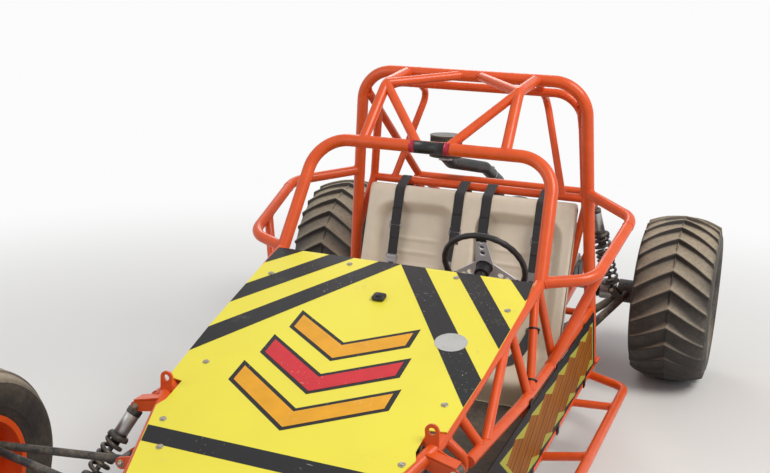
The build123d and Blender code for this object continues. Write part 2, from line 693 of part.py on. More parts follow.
# Front arms: bent lower arm and straight upper arm on each side
lower_ball = (KINGPIN_X, FRONT_AXLE_Y, LOWER_BALL_Z - BALL_HEIGHT / 2)
upper_ball = (KINGPIN_X, FRONT_AXLE_Y, UPPER_BALL_Z + BALL_HEIGHT / 2)
lower_arm_runs = [
    ([lower_pivots[0], PERCH, lower_ball], BRACE_OD, 60),
    ([lower_pivots[1], lower_ball], BRACE_OD, 0),
]
upper_arm_runs = [([p, upper_ball], THIN_OD, 0) for p in upper_pivots]
with BuildPart() as front_arms:
    add_runs(mirrored(lower_arm_runs + upper_arm_runs))
    for side in (1, -1):
        for x, y, z in lower_pivots + upper_pivots:
            with BuildSketch(Plane(origin=(side * x, y + BUSH_LENGTH / 2, z), z_dir=(0, -1, 0))):
                Circle(BUSH_RADIUS)
            extrude(amount=BUSH_LENGTH)
            bolt_bore((side * x, y, z), BUSH_LENGTH)
        ear_pair(along((side * PERCH[0], 0, PERCH[2])), BRACE_OD / 2,
                 (side * PERCH[0], PERCH[1], PERCH[2] + BRACE_OD / 2 + SHOCK_EYE + SEAT_GAP),
                 SHOCK_EYE, SHOCK_EYE_LENGTH)
        for z, reach in ((LOWER_BALL_Z - RUN_GAP, -BALL_HEIGHT),
                         (UPPER_BALL_Z + RUN_GAP, BALL_HEIGHT)):
            with BuildSketch(Plane.XY.offset(z)):
                with Locations((side * KINGPIN_X, FRONT_AXLE_Y)):
                    Circle(BALL_RADIUS)
            extrude(amount=reach)
            with BuildSketch(Plane.XY.offset(z)):
                with Locations((side * KINGPIN_X, FRONT_AXLE_Y)):
                    Circle(STUD_RADIUS + RUN_GAP)
            extrude(amount=reach, mode=Mode.SUBTRACT)
finish(front_arms, "front_arms")


def coilover(top, bottom, body_radius, spring_radius, coils):
    """Coil-over shock between two bolt eyes: damper body above, spring of round turns below."""
    axis = Vector(*bottom) - Vector(*top)
    length = axis.length
    across = Vector(0, 1, 0).cross(axis).normalized()
    plane = Plane(origin=top, x_dir=across, z_dir=across.cross(axis))
    collar = length * 0.36
    foot = length - SHOCK_NECK - 12
    pitch = (foot - 8 - collar - 10) / coils
    wire = pitch * 0.36
    with BuildSketch(plane) as section:
        with BuildLine():
            points = [(0, 0), (SHOCK_ROD, 0), (SHOCK_ROD, SHOCK_NECK), (body_radius, SHOCK_NECK),
                      (body_radius, collar), (spring_radius, collar), (spring_radius, collar + 10)]
            for i in range(coils):
                start = collar + 10 + pitch * i
                points += [(spring_radius - 2 * wire, start + 0.25 * pitch),
                           (spring_radius, start + 0.5 * pitch),
                           (spring_radius, start + 0.86 * pitch)]
            points += [(spring_radius, foot), (SHOCK_ROD, foot), (SHOCK_ROD, length), (0, length)]
            Polyline(points, close=True)
        make_face()
    revolve(section.sketch, axis=Axis(top, axis))
    for eye in (top, bottom):
        with BuildSketch(Plane(origin=(eye[0], eye[1] + SHOCK_EYE_LENGTH / 2, eye[2]),
                               z_dir=(0, -1, 0))) as ring:
            Circle(SHOCK_EYE)
        extrude(ring.sketch, amount=SHOCK_EYE_LENGTH)
    for eye in (top, bottom):
        bolt_bore(eye, 4 * SHOCK_EYE_LENGTH)


front_shock_foot = (PERCH[0], PERCH[1], PERCH[2] + BRACE_OD / 2 + SHOCK_EYE + SEAT_GAP)
with BuildPart() as front_shocks:
    coilover(FRONT_SHOCK_TOP, front_shock_foot, 20, 36, 6)
    mirror(about=Plane.YZ)
finish(front_shocks, "front_shocks")

with BuildPart() as rear_shocks:
    coilover(REAR_SHOCK_TOP, REAR_SHOCK_FOOT, 24, 44, 8)
    mirror(about=Plane.YZ)
finish(rear_shocks, "rear_shocks")

# Rear trailing arms, each with a pivot sleeve on the floor rail and a bearing carrier
sleeve_radius = 24
rail_bend = [floor_kink, cradle_front]
sleeve = [between(*rail_bend, share) for share in (0.3, 0.72)]
sleeve_lift = RAIL_OD / 2 + sleeve_radius + 2
sleeve = [(x, y, z + sleeve_lift) for x, y, z in sleeve]
hub_z = REAR_TYRE_OD / 2
carrier_in = 606
carrier_length = 88
rear_arm_runs = [
    (sleeve, 2 * sleeve_radius, 0),
    ([between(*sleeve, 0.12), (650, REAR_AXLE_Y - 50, hub_z)], STRUT_OD, 0),
    ([between(*sleeve, 0.9), (632, REAR_AXLE_Y - 30, hub_z)], STRUT_OD, 0),
]
with BuildPart() as rear_arms:
    add_runs(rear_arm_runs)
    with BuildSketch(Plane(origin=(carrier_in, REAR_AXLE_Y, hub_z), z_dir=(1, 0, 0))):
        Circle(58)
    extrude(amount=carrier_length)
    ear_pair(along((634, 0, 405)), STRUT_OD / 2, REAR_SHOCK_FOOT, SHOCK_EYE, SHOCK_EYE_LENGTH)
    with BuildSketch(Plane(origin=(carrier_in, REAR_AXLE_Y, hub_z), z_dir=(1, 0, 0))):
        Circle(DRIVE_STUB_RADIUS + RUN_GAP)
    extrude(amount=carrier_length, mode=Mode.SUBTRACT)
    mirror(about=Plane.YZ)
finish(rear_arms, "rear_arms")

# Drive shafts with their joints and hub flanges
shaft_inner = 136
hub_face = REAR_TRACK / 2 + 20 - HUB_LENGTH
shaft_steps = [
    # x of the end of each step and its radius
    (shaft_inner + 62, 52), (shaft_inner + 74, 36), (505, 15), (517, 36), (579, 52),
    (592, 34), (hub_face - 13, DRIVE_STUB_RADIUS), (hub_face - SEAT_GAP, 62),
    (REAR_TRACK / 2 + 62, DRIVE_STUB_RADIUS),
]
with BuildPart() as drive_shaft_left:
    start = shaft_inner
    for end_x, step_radius in shaft_steps:
        with BuildSketch(Plane(origin=(start, REAR_AXLE_Y, hub_z), z_dir=(1, 0, 0))):
            Circle(step_radius)
        extrude(amount=end_x - start)
        start = end_x
finish(drive_shaft_left, "drive_shaft_left")

with BuildPart() as drive_shaft_right:
    mirror(drive_shaft_left.part, about=Plane.YZ)
finish(drive_shaft_right, "drive_shaft_right")

# Transaxle and engine, carried on the cradle
bell_y = 1360
with BuildPart() as transaxle:
    for start_y, end_y, start_radius, end_radius in (
            (880, 1130, 78, 104), (1130, bell_y - 70, 104, 118), (bell_y - 70, bell_y, 118, 150)):
        with BuildSketch(Plane(origin=(0, start_y, hub_z), z_dir=(0, 1, 0))):
            Circle(start_radius)
        with BuildSketch(Plane(origin=(0, end_y, hub_z), z_dir=(0, 1, 0))):
            Circle(end_radius)
        loft()
    with BuildSketch(Plane(origin=(-shaft_inner + RUN_GAP, REAR_AXLE_Y, hub_z), z_dir=(1, 0, 0))):
        Circle(92)
    extrude(amount=2 * (shaft_inner - RUN_GAP))
    for i in range(8):
        turn = math.radians(45 * i + 22.5)
        out = (math.cos(turn), 0, math.sin(turn))
        with BuildSketch(Plane(origin=(0, 1140, hub_z), x_dir=(0, 1, 0), z_dir=(
                -math.sin(turn), 0, math.cos(turn)))):
            with BuildLine():
                Polyline((0, 90), (bell_y - 1146, 90), (bell_y - 1146, 148), (0, 108), close=True)
            make_face()
        extrude(amount=4, both=True)
    nose_top = cradle_front[2] + BRACE_OD / 2 + SEAT_GAP
    with Locations((0, 900, (nose_top + hub_z) / 2)):
        Box(90, 36, hub_z - nose_top)
finish(transaxle, "transaxle")

case_half = 125
case_low = 330
case_top = 505
case_rear = 1700
bank_half = 322
bank_rows = (1442, 1578)
barrel_radius = 47
fin_count = 9
fin_sheet = 3
head_depth = 46
head_length = 124
cover_depth = 20
shroud_y = 1470
shroud_depth = 95
fan_z = 640
belt_y = 1702
belt_width = 18
pulley_table = [
    # height and radius of each belt pulley
    (470, 72), (fan_z, 48),
]
post_table = [
    # x, y, radius, low and high end of the distributor's body and cap and of the oil filler
    (82, 1556, 22, case_top - 2, 560),
    (82, 1556, 30, 558, 596),
    (92, 1650, 18, case_top - 2, 545),
    (92, 1650, 24, 543, 552),
]
carburettor_x = -130
carburettor_y = 1510
carburettor_top = 636
manifold_z = 548
manifold_od = 30
with BuildPart() as engine:
    with Locations((0, (bell_y + case_rear) / 2 + SEAT_GAP, (case_low + case_top) / 2)):
        Box(2 * case_half, case_rear - bell_y, case_top - case_low)
    barrel_end = bank_half - head_depth
    fin_pitch = (barrel_end - case_half - fin_sheet) / fin_count
    for side in (1, -1):
        for bank_y in bank_rows:
            with BuildSketch(Plane(origin=(side * (case_half - 2), bank_y, hub_z),
                                   z_dir=(side, 0, 0))):
                Circle(barrel_radius)
            extrude(amount=barrel_end - case_half + 4)
            for i in range(fin_count):
                with BuildSketch(Plane(origin=(side * (case_half + fin_pitch * (i + 0.4)), bank_y,
                                               hub_z), z_dir=(side, 0, 0))):
                    RectangleRounded(116, 116, 30)
                extrude(amount=fin_sheet)
            with BuildSketch(Plane(origin=(side * barrel_end, bank_y, hub_z),
                                   z_dir=(side, 0, 0))):
                RectangleRounded(128, head_length, 24)
            extrude(amount=head_depth)
            with BuildSketch(Plane(origin=(side * bank_half, bank_y, hub_z - 12),
                                   z_dir=(side, 0, 0))):
                RectangleRounded(86, head_length - 16, 26)
            extrude(amount=cover_depth, taper=12)
    with BuildSketch(Plane(origin=(0, shroud_y, 0), x_dir=(1, 0, 0), z_dir=(0, -1, 0))):
        with Locations((0, fan_z)):
            Circle(150)
        with Locations((0, fan_z - 120)):
            Rectangle(430, 60)
        make_hull()
    extrude(amount=shroud_depth)
    with BuildSketch(Plane(origin=(0, shroud_y - 1, fan_z), z_dir=(0, 1, 0))):
        Circle(54)
    extrude(amount=belt_y - shroud_y - 20)
    with Locations((0, 1620, (case_top + fan_z) / 2)):
        Box(80, 110, fan_z - case_top)
    for pulley_z, pulley_radius in pulley_table:
        with BuildSketch(Plane(origin=(0, belt_y - 30, pulley_z), z_dir=(0, 1, 0))):
            Circle(16)
        extrude(amount=30)
        with BuildSketch(Plane(origin=(0, belt_y, pulley_z), z_dir=(0, 1, 0))):
            Circle(pulley_radius)
        extrude(amount=belt_width + 6)
    with BuildSketch(Plane(origin=(0, belt_y + 3, 0), x_dir=(-1, 0, 0), z_dir=(0, 1, 0))):
        for pulley_z, pulley_radius in pulley_table:
            with Locations((0, pulley_z)):
                Circle(pulley_radius + 3)
        make_hull()
        with BuildSketch(mode=Mode.SUBTRACT):
            for pulley_z, pulley_radius in pulley_table:
                with Locations((0, pulley_z)):
                    Circle(pulley_radius - 5)
            make_hull()
    extrude(amount=belt_width)
    port_in = bank_half - 62
    head_top = hub_z + head_length / 2
    tube([(-port_in, carburettor_y, head_top - 4), (-port_in, carburettor_y, manifold_z),
          (port_in, carburettor_y, manifold_z), (port_in, carburettor_y, head_top - 4)],
         manifold_od, 32)
    for side in (1, -1):
        with Locations((side * port_in, carburettor_y, head_top + 8)):
            Box(58, 60, 24)
    with Locations((carburettor_x, carburettor_y, (manifold_z + carburettor_top) / 2)):
        Box(58, 56, carburettor_top - manifold_z)
    for x, y, radius, low, high in post_table:
        with BuildSketch(Plane.XY.offset(low)):
            with Locations((x, y)):
                Circle(radius)
        extrude(amount=high - low)
    cradle_top = floor_tail[2] + BRACE_OD / 2 + SEAT_GAP
    with Locations((0, 1715, (cradle_top + 420) / 2)):
        Box(160, 40, 420 - cradle_top)
finish(engine, "engine")

# Exhaust: one pipe from each bank into a cross-mounted silencer
silencer = (0, 1808, 400)
silencer_half = 260
silencer_radius = 58
header_od = 38
header_y = 1735
tail_od = 46
tailpipe = [(230, 1815, 385), (285, 1850, 372), (300, 1930, 372)]
port_x = bank_half - head_depth + 10
port_y = bank_rows[-1] + head_length / 2 + SEAT_GAP
with BuildPart() as exhaust:
    for side in (1, -1):
        tube([(side * port_x, port_y, hub_z - 8), (side * port_x, header_y, hub_z - 8),
              (side * 225, silencer[1], silencer[2])], header_od, 50)
    tube([(-silencer_half, silencer[1], silencer[2]), (silencer_half, silencer[1], silencer[2])],
         2 * silencer_radius)
    for x in (-silencer_half + 12, silencer_half - 12):
        with BuildSketch(Plane(origin=(x - 4, silencer[1], silencer[2]), z_dir=(1, 0, 0))):
            Circle(silencer_radius + 4)
        extrude(amount=8)
    tube(tailpipe, tail_od, 40)
finish(exhaust, "exhaust")

# Air cleaner on its pipe above the engine
cleaner = (-215, 800)
cleaner_low = 1082
cleaner_height = 105
cleaner_radius = 74
cleaner_lid = 8
hose_od = 62
with BuildPart() as air_cleaner:
    tube([(carburettor_x, carburettor_y, carburettor_top + SEAT_GAP),
          (carburettor_x, carburettor_y, 850), (carburettor_x, 1200, 975),
          (cleaner[0], 890, 1040), (*cleaner, cleaner_low + 3)], hose_od, 55)
    with BuildSketch(Plane.XY.offset(cleaner_low)):
        with Locations(cleaner):
            Circle(cleaner_radius)
    extrude(amount=cleaner_height)
    for z in (cleaner_low, cleaner_low + cleaner_height - cleaner_lid):
        with BuildSketch(Plane.XY.offset(z)):
            with Locations(cleaner):
                Circle(cleaner_radius + 5)
        extrude(amount=cleaner_lid)
finish(air_cleaner, "air_cleaner")

# Fuel tank on the shelf behind the seats
tank_radius = 117
tank_band = 3
tank_half = 300
tank_y = shelf_y + 155
tank_z = tank_shelf_z + THIN_OD / 2 + SEAT_GAP + tank_band + tank_radius
with BuildPart() as fuel_tank:
    tube([(-tank_half, tank_y, tank_z), (tank_half, tank_y, tank_z)], 2 * tank_radius)
    for x in (-200, 200):
        with BuildSketch(Plane(origin=(x - 17, tank_y, tank_z), z_dir=(1, 0, 0))):
            Circle(tank_radius + tank_band)
        extrude(amount=34)
    for x in (-tank_half, tank_half - 6):
        with BuildSketch(Plane(origin=(x, tank_y, tank_z), z_dir=(1, 0, 0))):
            Circle(tank_radius + 2)
        extrude(amount=6)
    with BuildSketch(Plane.XY.offset(tank_z + tank_radius - 12)):
        with Locations((0, tank_y)):
            Circle(26)
    extrude(amount=30)
    with BuildSketch(Plane.XY.offset(tank_z + tank_radius + 14)):
        with Locations((0, tank_y)):
            RegularPolygon(36, 8)
    extrude(amount=16)
finish(fuel_tank, "fuel_tank")

# Lean of the steering column
tilt = math.radians(COLUMN_TILT)
to_driver = (0, math.cos(tilt), math.sin(tilt))

# Bench seat with two buckets
seat_base = FLOOR_Z + BRACE_OD / 2 + SEAT_GAP + SHEET + SEAT_GAP
lean = math.radians(BACK_LEAN)
back_up = (math.sin(lean), math.cos(lean))
back_out = (-math.cos(lean), math.sin(lean))
back_length = (SEAT_TOP_Z - BACK_ROLL * (1 - back_out[1]) - BACK_FOOT[1]) / back_up[1]
back_head = (BACK_FOOT[0] + back_up[0] * back_length, BACK_FOOT[1] + back_up[1] * back_length)
crest = (back_head[0] - back_out[0] * BACK_ROLL, back_head[1] - back_out[1] * BACK_ROLL)


def seat_face(low, high, reach, x):
    """Plane on the seat's face at a distance from low towards high, facing the rider."""
    run = (high[0] - low[0], high[1] - low[1])
    length = math.hypot(*run)
    return Plane(origin=(x, low[0] + run[0] * reach / length, low[1] + run[1] * reach / length),
                 x_dir=(1, 0, 0), z_dir=(0, -run[1] / length, run[0] / length))


recess_table = [
    # low and high end of the face, centre from the low end, length, depth
    (BACK_FOOT, back_head, 290, 590, BACK_RECESS),
    (CUSHION_FRONT, CUSHION_HEEL, 240, 430, CUSHION_RECESS),
]
with BuildPart() as bench_seat:
    with BuildSketch(Plane.YZ):
        with BuildLine():
            ThreePointArc(CUSHION_FRONT, (SEAT_FRONT_Y + 7, CUSHION_FRONT[1] - 7),
                          (SEAT_FRONT_Y, CUSHION_FRONT[1] - 25))
            Polyline((SEAT_FRONT_Y, CUSHION_FRONT[1] - 25), (SEAT_FRONT_Y, seat_base),
                     (BACK_FOOT[0], seat_base), SHELL_HEEL, (crest[0] + BACK_ROLL, crest[1]))
            ThreePointArc((crest[0] + BACK_ROLL, crest[1]), (crest[0], crest[1] + BACK_ROLL),
                          back_head)
            Polyline(back_head, BACK_FOOT, CUSHION_HEEL, CUSHION_FRONT)
        make_face()
    extrude(amount=SEAT_HALF, both=True)
    for bucket in (-BUCKET_PITCH / 2, BUCKET_PITCH / 2):
        for low, high, reach, length, depth in recess_table:
            face = seat_face(low, high, reach, bucket)
            with BuildSketch(face.offset(SEAT_GAP)):
                RectangleRounded(BUCKET_WIDTH, length, BUCKET_CORNER)
            with BuildSketch(face.offset(-depth)):
                RectangleRounded(BUCKET_WIDTH - 2 * BUCKET_SLOPE, length - 2 * BUCKET_SLOPE,
                                 BUCKET_CORNER - BUCKET_SLOPE)
            loft(mode=Mode.SUBTRACT)
finish(bench_seat, "bench_seat")

# Harness straps: round the harness bar, over the bench's rolled top and down its face
strap_lift = STRAP_THICKNESS / 2 + SEAT_GAP
bar_wrap = STRUT_OD / 2 + strap_lift
roll_wrap = BACK_ROLL + strap_lift
to_bar = (harness_y - crest[0], HARNESS_BAR_Z - crest[1])
rise = math.atan2(to_bar[1], to_bar[0]) - math.asin((roll_wrap - bar_wrap) / math.hypot(*to_bar))
bridge_at = (crest[0] - math.sin(rise) * roll_wrap, crest[1] + math.cos(rise) * roll_wrap)
tail_y = harness_y + bar_wrap
face_at = (BACK_FOOT[0] + back_out[0] * strap_lift, BACK_FOOT[1] + back_out[1] * strap_lift)
turn = ((bridge_at[0] - face_at[0]) * math.sin(rise) - (bridge_at[1] - face_at[1])
        * math.cos(rise)) / (back_up[0] * math.sin(rise) - back_up[1] * math.cos(rise))
end = (STRAP_END_Z - face_at[1]) / back_up[1]
with BuildPart() as harness_straps:
    for x in STRAP_X:
        with BuildSketch(Plane.YZ.offset(x)):
            with BuildLine():
                FilletPolyline(
                    (tail_y, STRAP_TAIL_Z),
                    (tail_y, bridge_at[1] + (tail_y - bridge_at[0]) * math.tan(rise)),
                    (face_at[0] + back_up[0] * turn, face_at[1] + back_up[1] * turn),
                    (face_at[0] + back_up[0] * end, face_at[1] + back_up[1] * end),
                    radius=bar_wrap)
                offset(amount=STRAP_THICKNESS / 2, side=Side.BOTH)
            make_face()
        extrude(amount=STRAP_WIDTH / 2, both=True)
finish(harness_straps, "harness_straps")

# Pedals on their shaft, and the shifter between the riders
shaft_z = seat_base + 22
with BuildPart() as foot_pedals:
    with Locations(((PEDAL_X[0] + PEDAL_X[-1]) / 2, PEDAL_Y, seat_base + 4)):
        Box(PEDAL_X[-1] - PEDAL_X[0] + 30, 70, 8)
    tube([(PEDAL_X[0] - 12, PEDAL_Y, shaft_z), (PEDAL_X[-1] + 12, PEDAL_Y, shaft_z)], 22)
    for x in (PEDAL_X[0] + 40, PEDAL_X[-1] - 35):
        with Locations((x, PEDAL_Y, (seat_base + shaft_z) / 2)):
            Box(14, 30, shaft_z - seat_base)
    for x in PEDAL_X:
        tube([(x, PEDAL_Y, shaft_z), (x, PEDAL_Y - 28, shaft_z + 80),
              (x, PEDAL_Y + 20, PEDAL_PAD_Z)], 14, 40)
        with BuildSketch(Plane(origin=(x, PEDAL_Y + 18, PEDAL_PAD_Z), x_dir=(1, 0, 0),
                               z_dir=(0, math.cos(tilt), -math.sin(tilt)))):
            RectangleRounded(58, 78, 12)
        extrude(amount=11)
finish(foot_pedals, "foot_pedals")

with BuildPart() as shifter:
    with BuildSketch(Plane.XY.offset(seat_base)):
        with Locations((0, SHIFTER_Y)):
            RectangleRounded(100, 130, 18)
    extrude(amount=34, taper=8)
    with BuildSketch(Plane.XY.offset(seat_base + 34)):
        with Locations((0, SHIFTER_Y)):
            Circle(34)
    with BuildSketch(Plane.XY.offset(seat_base + 84)):
        with Locations((0, SHIFTER_Y)):
            Circle(12)
    loft()
    tube([(0, SHIFTER_Y, seat_base + 70), (0, SHIFTER_Y + 10, 440),
          (0, SHIFTER_Y + 45, SHIFTER_TOP - 20)], 14, 60)
    with Locations((0, SHIFTER_Y + 48, SHIFTER_TOP - 12)):
        Sphere(24)
finish(shifter, "shifter")

# Steering wheel with its shaft
wheel_plane = Plane(origin=STEERING_WHEEL_CENTRE, x_dir=(-1, 0, 0), z_dir=to_driver)
grip = STEERING_WHEEL_GRIP / 2
with BuildPart() as steering_wheel:
    with BuildSketch(Plane(origin=STEERING_WHEEL_CENTRE, x_dir=(-1, 0, 0),
                           z_dir=wheel_plane.y_dir)):
        with Locations((STEERING_WHEEL_RADIUS, 0)):
            Circle(grip)
    revolve(axis=Axis(STEERING_WHEEL_CENTRE, to_driver))
    for angle in SPOKE_ANGLES:
        a = math.radians(angle)
        with BuildSketch(wheel_plane.offset(-SPOKE_SHEET / 2)):
            with BuildLine():
                Polyline(*[(r * math.cos(a) - w * math.sin(a), r * math.sin(a) + w * math.cos(a))
                           for r, w in ((20, -SPOKE_ROOT / 2),
                                        (STEERING_WHEEL_RADIUS, -SPOKE_TIP / 2),
                                        (STEERING_WHEEL_RADIUS, SPOKE_TIP / 2),
                                        (20, SPOKE_ROOT / 2))], close=True)
            make_face()
            for share, hole in SPOKE_HOLES:
                reach = STEERING_WHEEL_RADIUS * share
                with Locations((reach * math.cos(a), reach * math.sin(a))):
                    Circle(hole, mode=Mode.SUBTRACT)
        extrude(amount=SPOKE_SHEET)
    with BuildSketch(wheel_plane.offset(-45)):
        Circle(30)
    extrude(amount=52)
    with BuildSketch(wheel_plane.offset(7)):
        Circle(34)
    extrude(amount=10, taper=25)
    with BuildSketch(wheel_plane.offset(-420)):
        Circle(10)
    extrude(amount=400)
finish(steering_wheel, "steering_wheel")

# Steering column: housing, clamp on the dash tube, gaiter and the shaft down to the rack
column_x, column_y, column_z = STEERING_WHEEL_CENTRE
dash_z = upper_rail(dash_y)[2]
clamp_radius = BRACE_OD / 2 + SEAT_GAP
hanger_reach = (dash_y - column_y) / math.cos(tilt)
gaiter_top = wheel_plane.offset(-395).origin
gaiter_foot = between(tuple(gaiter_top), (column_x, RACK_Y, RACK_Z), 0.12)
pinion_seat = between(tuple(gaiter_top), (column_x, RACK_Y, RACK_Z), 0.93)
with BuildPart() as steering_column:
    with BuildSketch(wheel_plane.offset(-400)):
        Circle(19)
    extrude(amount=400 - 45 - 1)
    tube([tuple(gaiter_top), gaiter_foot], 62)
    tube([gaiter_foot, between(gaiter_foot, pinion_seat, 0.999)], 20)
    with BuildSketch(Plane(origin=(column_x - 20, dash_y, dash_z), z_dir=(1, 0, 0))):
        Circle(clamp_radius + CLAMP_WALL)
    extrude(amount=40)
    hanger_z = column_z + hanger_reach * math.sin(tilt) + 14
    tube([(column_x, dash_y, dash_z), (column_x, dash_y, hanger_z)], THIN_OD)
    with BuildSketch(Plane(origin=(column_x - 20, dash_y, dash_z), z_dir=(1, 0, 0))):
        Circle(clamp_radius)
    extrude(amount=40, mode=Mode.SUBTRACT)
    with BuildSketch(wheel_plane.offset(-428)):
        Circle(10 + RUN_GAP)
    extrude(amount=428, mode=Mode.SUBTRACT)
finish(steering_column, "steering_column")

# Rack housing and the sliding tie rods
rack_half = 275
with BuildPart() as rack_housing:
    with BuildSketch(Plane(origin=(-rack_half, RACK_Y, RACK_Z), z_dir=(1, 0, 0))):
        Circle(25)
    extrude(amount=2 * rack_half)
    saddle_low = FLOOR_Z + BRACE_OD / 2 + SEAT_GAP + SHEET + SEAT_GAP
    for x in (-130, 130):
        with Locations((x, RACK_Y, (saddle_low + RACK_Z) / 2)):
            Box(40, 30, RACK_Z - saddle_low)
    tube([pinion_seat, (column_x, RACK_Y, RACK_Z)], 44)
    with BuildSketch(Plane(origin=(-rack_half, RACK_Y, RACK_Z), z_dir=(1, 0, 0))):
        Circle(TIE_ROD_RADIUS + RUN_GAP)
    extrude(amount=2 * rack_half, mode=Mode.SUBTRACT)
finish(rack_housing, "rack_housing")

with BuildPart() as tie_rods:
    reach = KINGPIN_X - STEER_EYE_INSET
    with BuildSketch(Plane(origin=(-reach, RACK_Y, RACK_Z), z_dir=(1, 0, 0))):
        Circle(TIE_ROD_RADIUS)
    extrude(amount=2 * reach)
    with BuildSketch(Plane.XY.offset(RACK_Z - TIE_ROD_RADIUS)):
        with Locations((reach, RACK_Y), (-reach, RACK_Y)):
            Circle(TIE_END_RADIUS)
    extrude(amount=20)
finish(tie_rods, "tie_rods")
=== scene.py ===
"""Dresses the packed dune buggy: paint, hood bands, tyres, springs, seats and the studio stage."""

import json
import math
from functools import partial, reduce

import bpy
import numpy as np
from mathutils import Matrix, Vector


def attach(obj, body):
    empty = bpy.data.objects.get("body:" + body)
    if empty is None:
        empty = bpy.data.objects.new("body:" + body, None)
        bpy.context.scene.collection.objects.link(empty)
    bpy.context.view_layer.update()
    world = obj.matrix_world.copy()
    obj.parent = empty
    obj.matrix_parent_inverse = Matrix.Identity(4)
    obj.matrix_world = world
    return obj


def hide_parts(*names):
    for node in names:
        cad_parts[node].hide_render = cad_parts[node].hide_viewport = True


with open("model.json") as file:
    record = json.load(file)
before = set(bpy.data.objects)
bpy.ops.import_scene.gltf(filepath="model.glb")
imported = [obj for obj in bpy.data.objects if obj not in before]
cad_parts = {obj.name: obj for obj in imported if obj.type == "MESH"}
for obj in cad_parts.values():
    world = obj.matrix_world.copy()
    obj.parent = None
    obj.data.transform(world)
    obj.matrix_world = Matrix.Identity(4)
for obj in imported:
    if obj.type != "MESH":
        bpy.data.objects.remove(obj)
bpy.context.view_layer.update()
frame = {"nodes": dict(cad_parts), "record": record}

bl_info = {
    "name": "Dune Buggy Dresser",
    "version": (1, 0, 0),
    "blender": (4, 5, 0),
    "location": "View3D > Sidebar > Buggy",
    "description": "Adds the visible pieces and finishes of a dune buggy to its packed frame",
    "category": "Object",
}

# Stations of the frame, in metres, on the vehicle's left side
COWL = np.array([0.529, -0.273, 0.831])
SHOULDER = np.array([0.463, -1.191, 0.567])
NOSE_TOP = np.array([0.285, -1.760, 0.403])
HOOP_RADIUS = 0.0254
RAIL_RADIUS = 0.022
STRUT_RADIUS = 0.019
BRACE_RADIUS = 0.016
HOOD_SLOPE = math.atan2(COWL[2] - SHOULDER[2], COWL[1] - SHOULDER[1])
HOOD_NORMAL = np.array([0.0, -math.sin(HOOD_SLOPE), math.cos(HOOD_SLOPE)])
HOOD_THICKNESS = 0.004
HOOD_LIFT = RAIL_RADIUS + 0.0003 + HOOD_THICKNESS

# The middle of the steering wheel's ring, the way it faces and its radius
STEER_HUB = np.array([0.250, -0.045, 0.800])
STEER_AXIS = np.array([0.0, math.cos(math.radians(30)), math.sin(math.radians(30))])
STEER_RING = 0.165

# Each left wheel's middle; it stands on the ground, so its height is its radius too
WHEELS = {"front": (0.950, -1.600, 0.345), "rear": (0.890, 1.220, 0.413)}
RIM_RADIUS = 0.1905

SIDE_AXIS = np.array([1.0, 0.0, 0.0])
SIDES = (("left", 1.0), ("right", -1.0))
BODY_OF = {node: body for body, nodes in frame["record"]["behaviour"]["bodies"].items()
           for node in nodes}


def smoothstep(x):
    """Zero below 0, one above 1 and 3x^2 - 2x^3 between."""
    x = np.clip(x, 0.0, 1.0)
    return x * x * (3.0 - 2.0 * x)


def unit(v):
    """Vectors divided by their own lengths, along the last axis."""
    v = np.asarray(v, float)
    return v / np.linalg.norm(v, axis=-1, keepdims=True)


def full_turn(steps):
    """Even angles once round a circle."""
    return np.linspace(0, math.tau, steps, endpoint=False)


def ring_of(angle, a, b):
    """Unit vectors cos(angle) a + sin(angle) b, one to a row."""
    return np.cos(angle)[:, None] * a + np.sin(angle)[:, None] * b


def on_hood(x, y, lift=0.0):
    """The point over (x, y) that lies lift above the hood's outer face."""
    x, y = np.broadcast_arrays(np.asarray(x, float), np.asarray(y, float))
    rise = COWL[2] + (HOOD_LIFT + lift) * HOOD_NORMAL[2]
    back = COWL[1] + (HOOD_LIFT + lift) * HOOD_NORMAL[1]
    return np.stack([x, y, rise + (y - back) * math.tan(HOOD_SLOPE)], axis=-1)


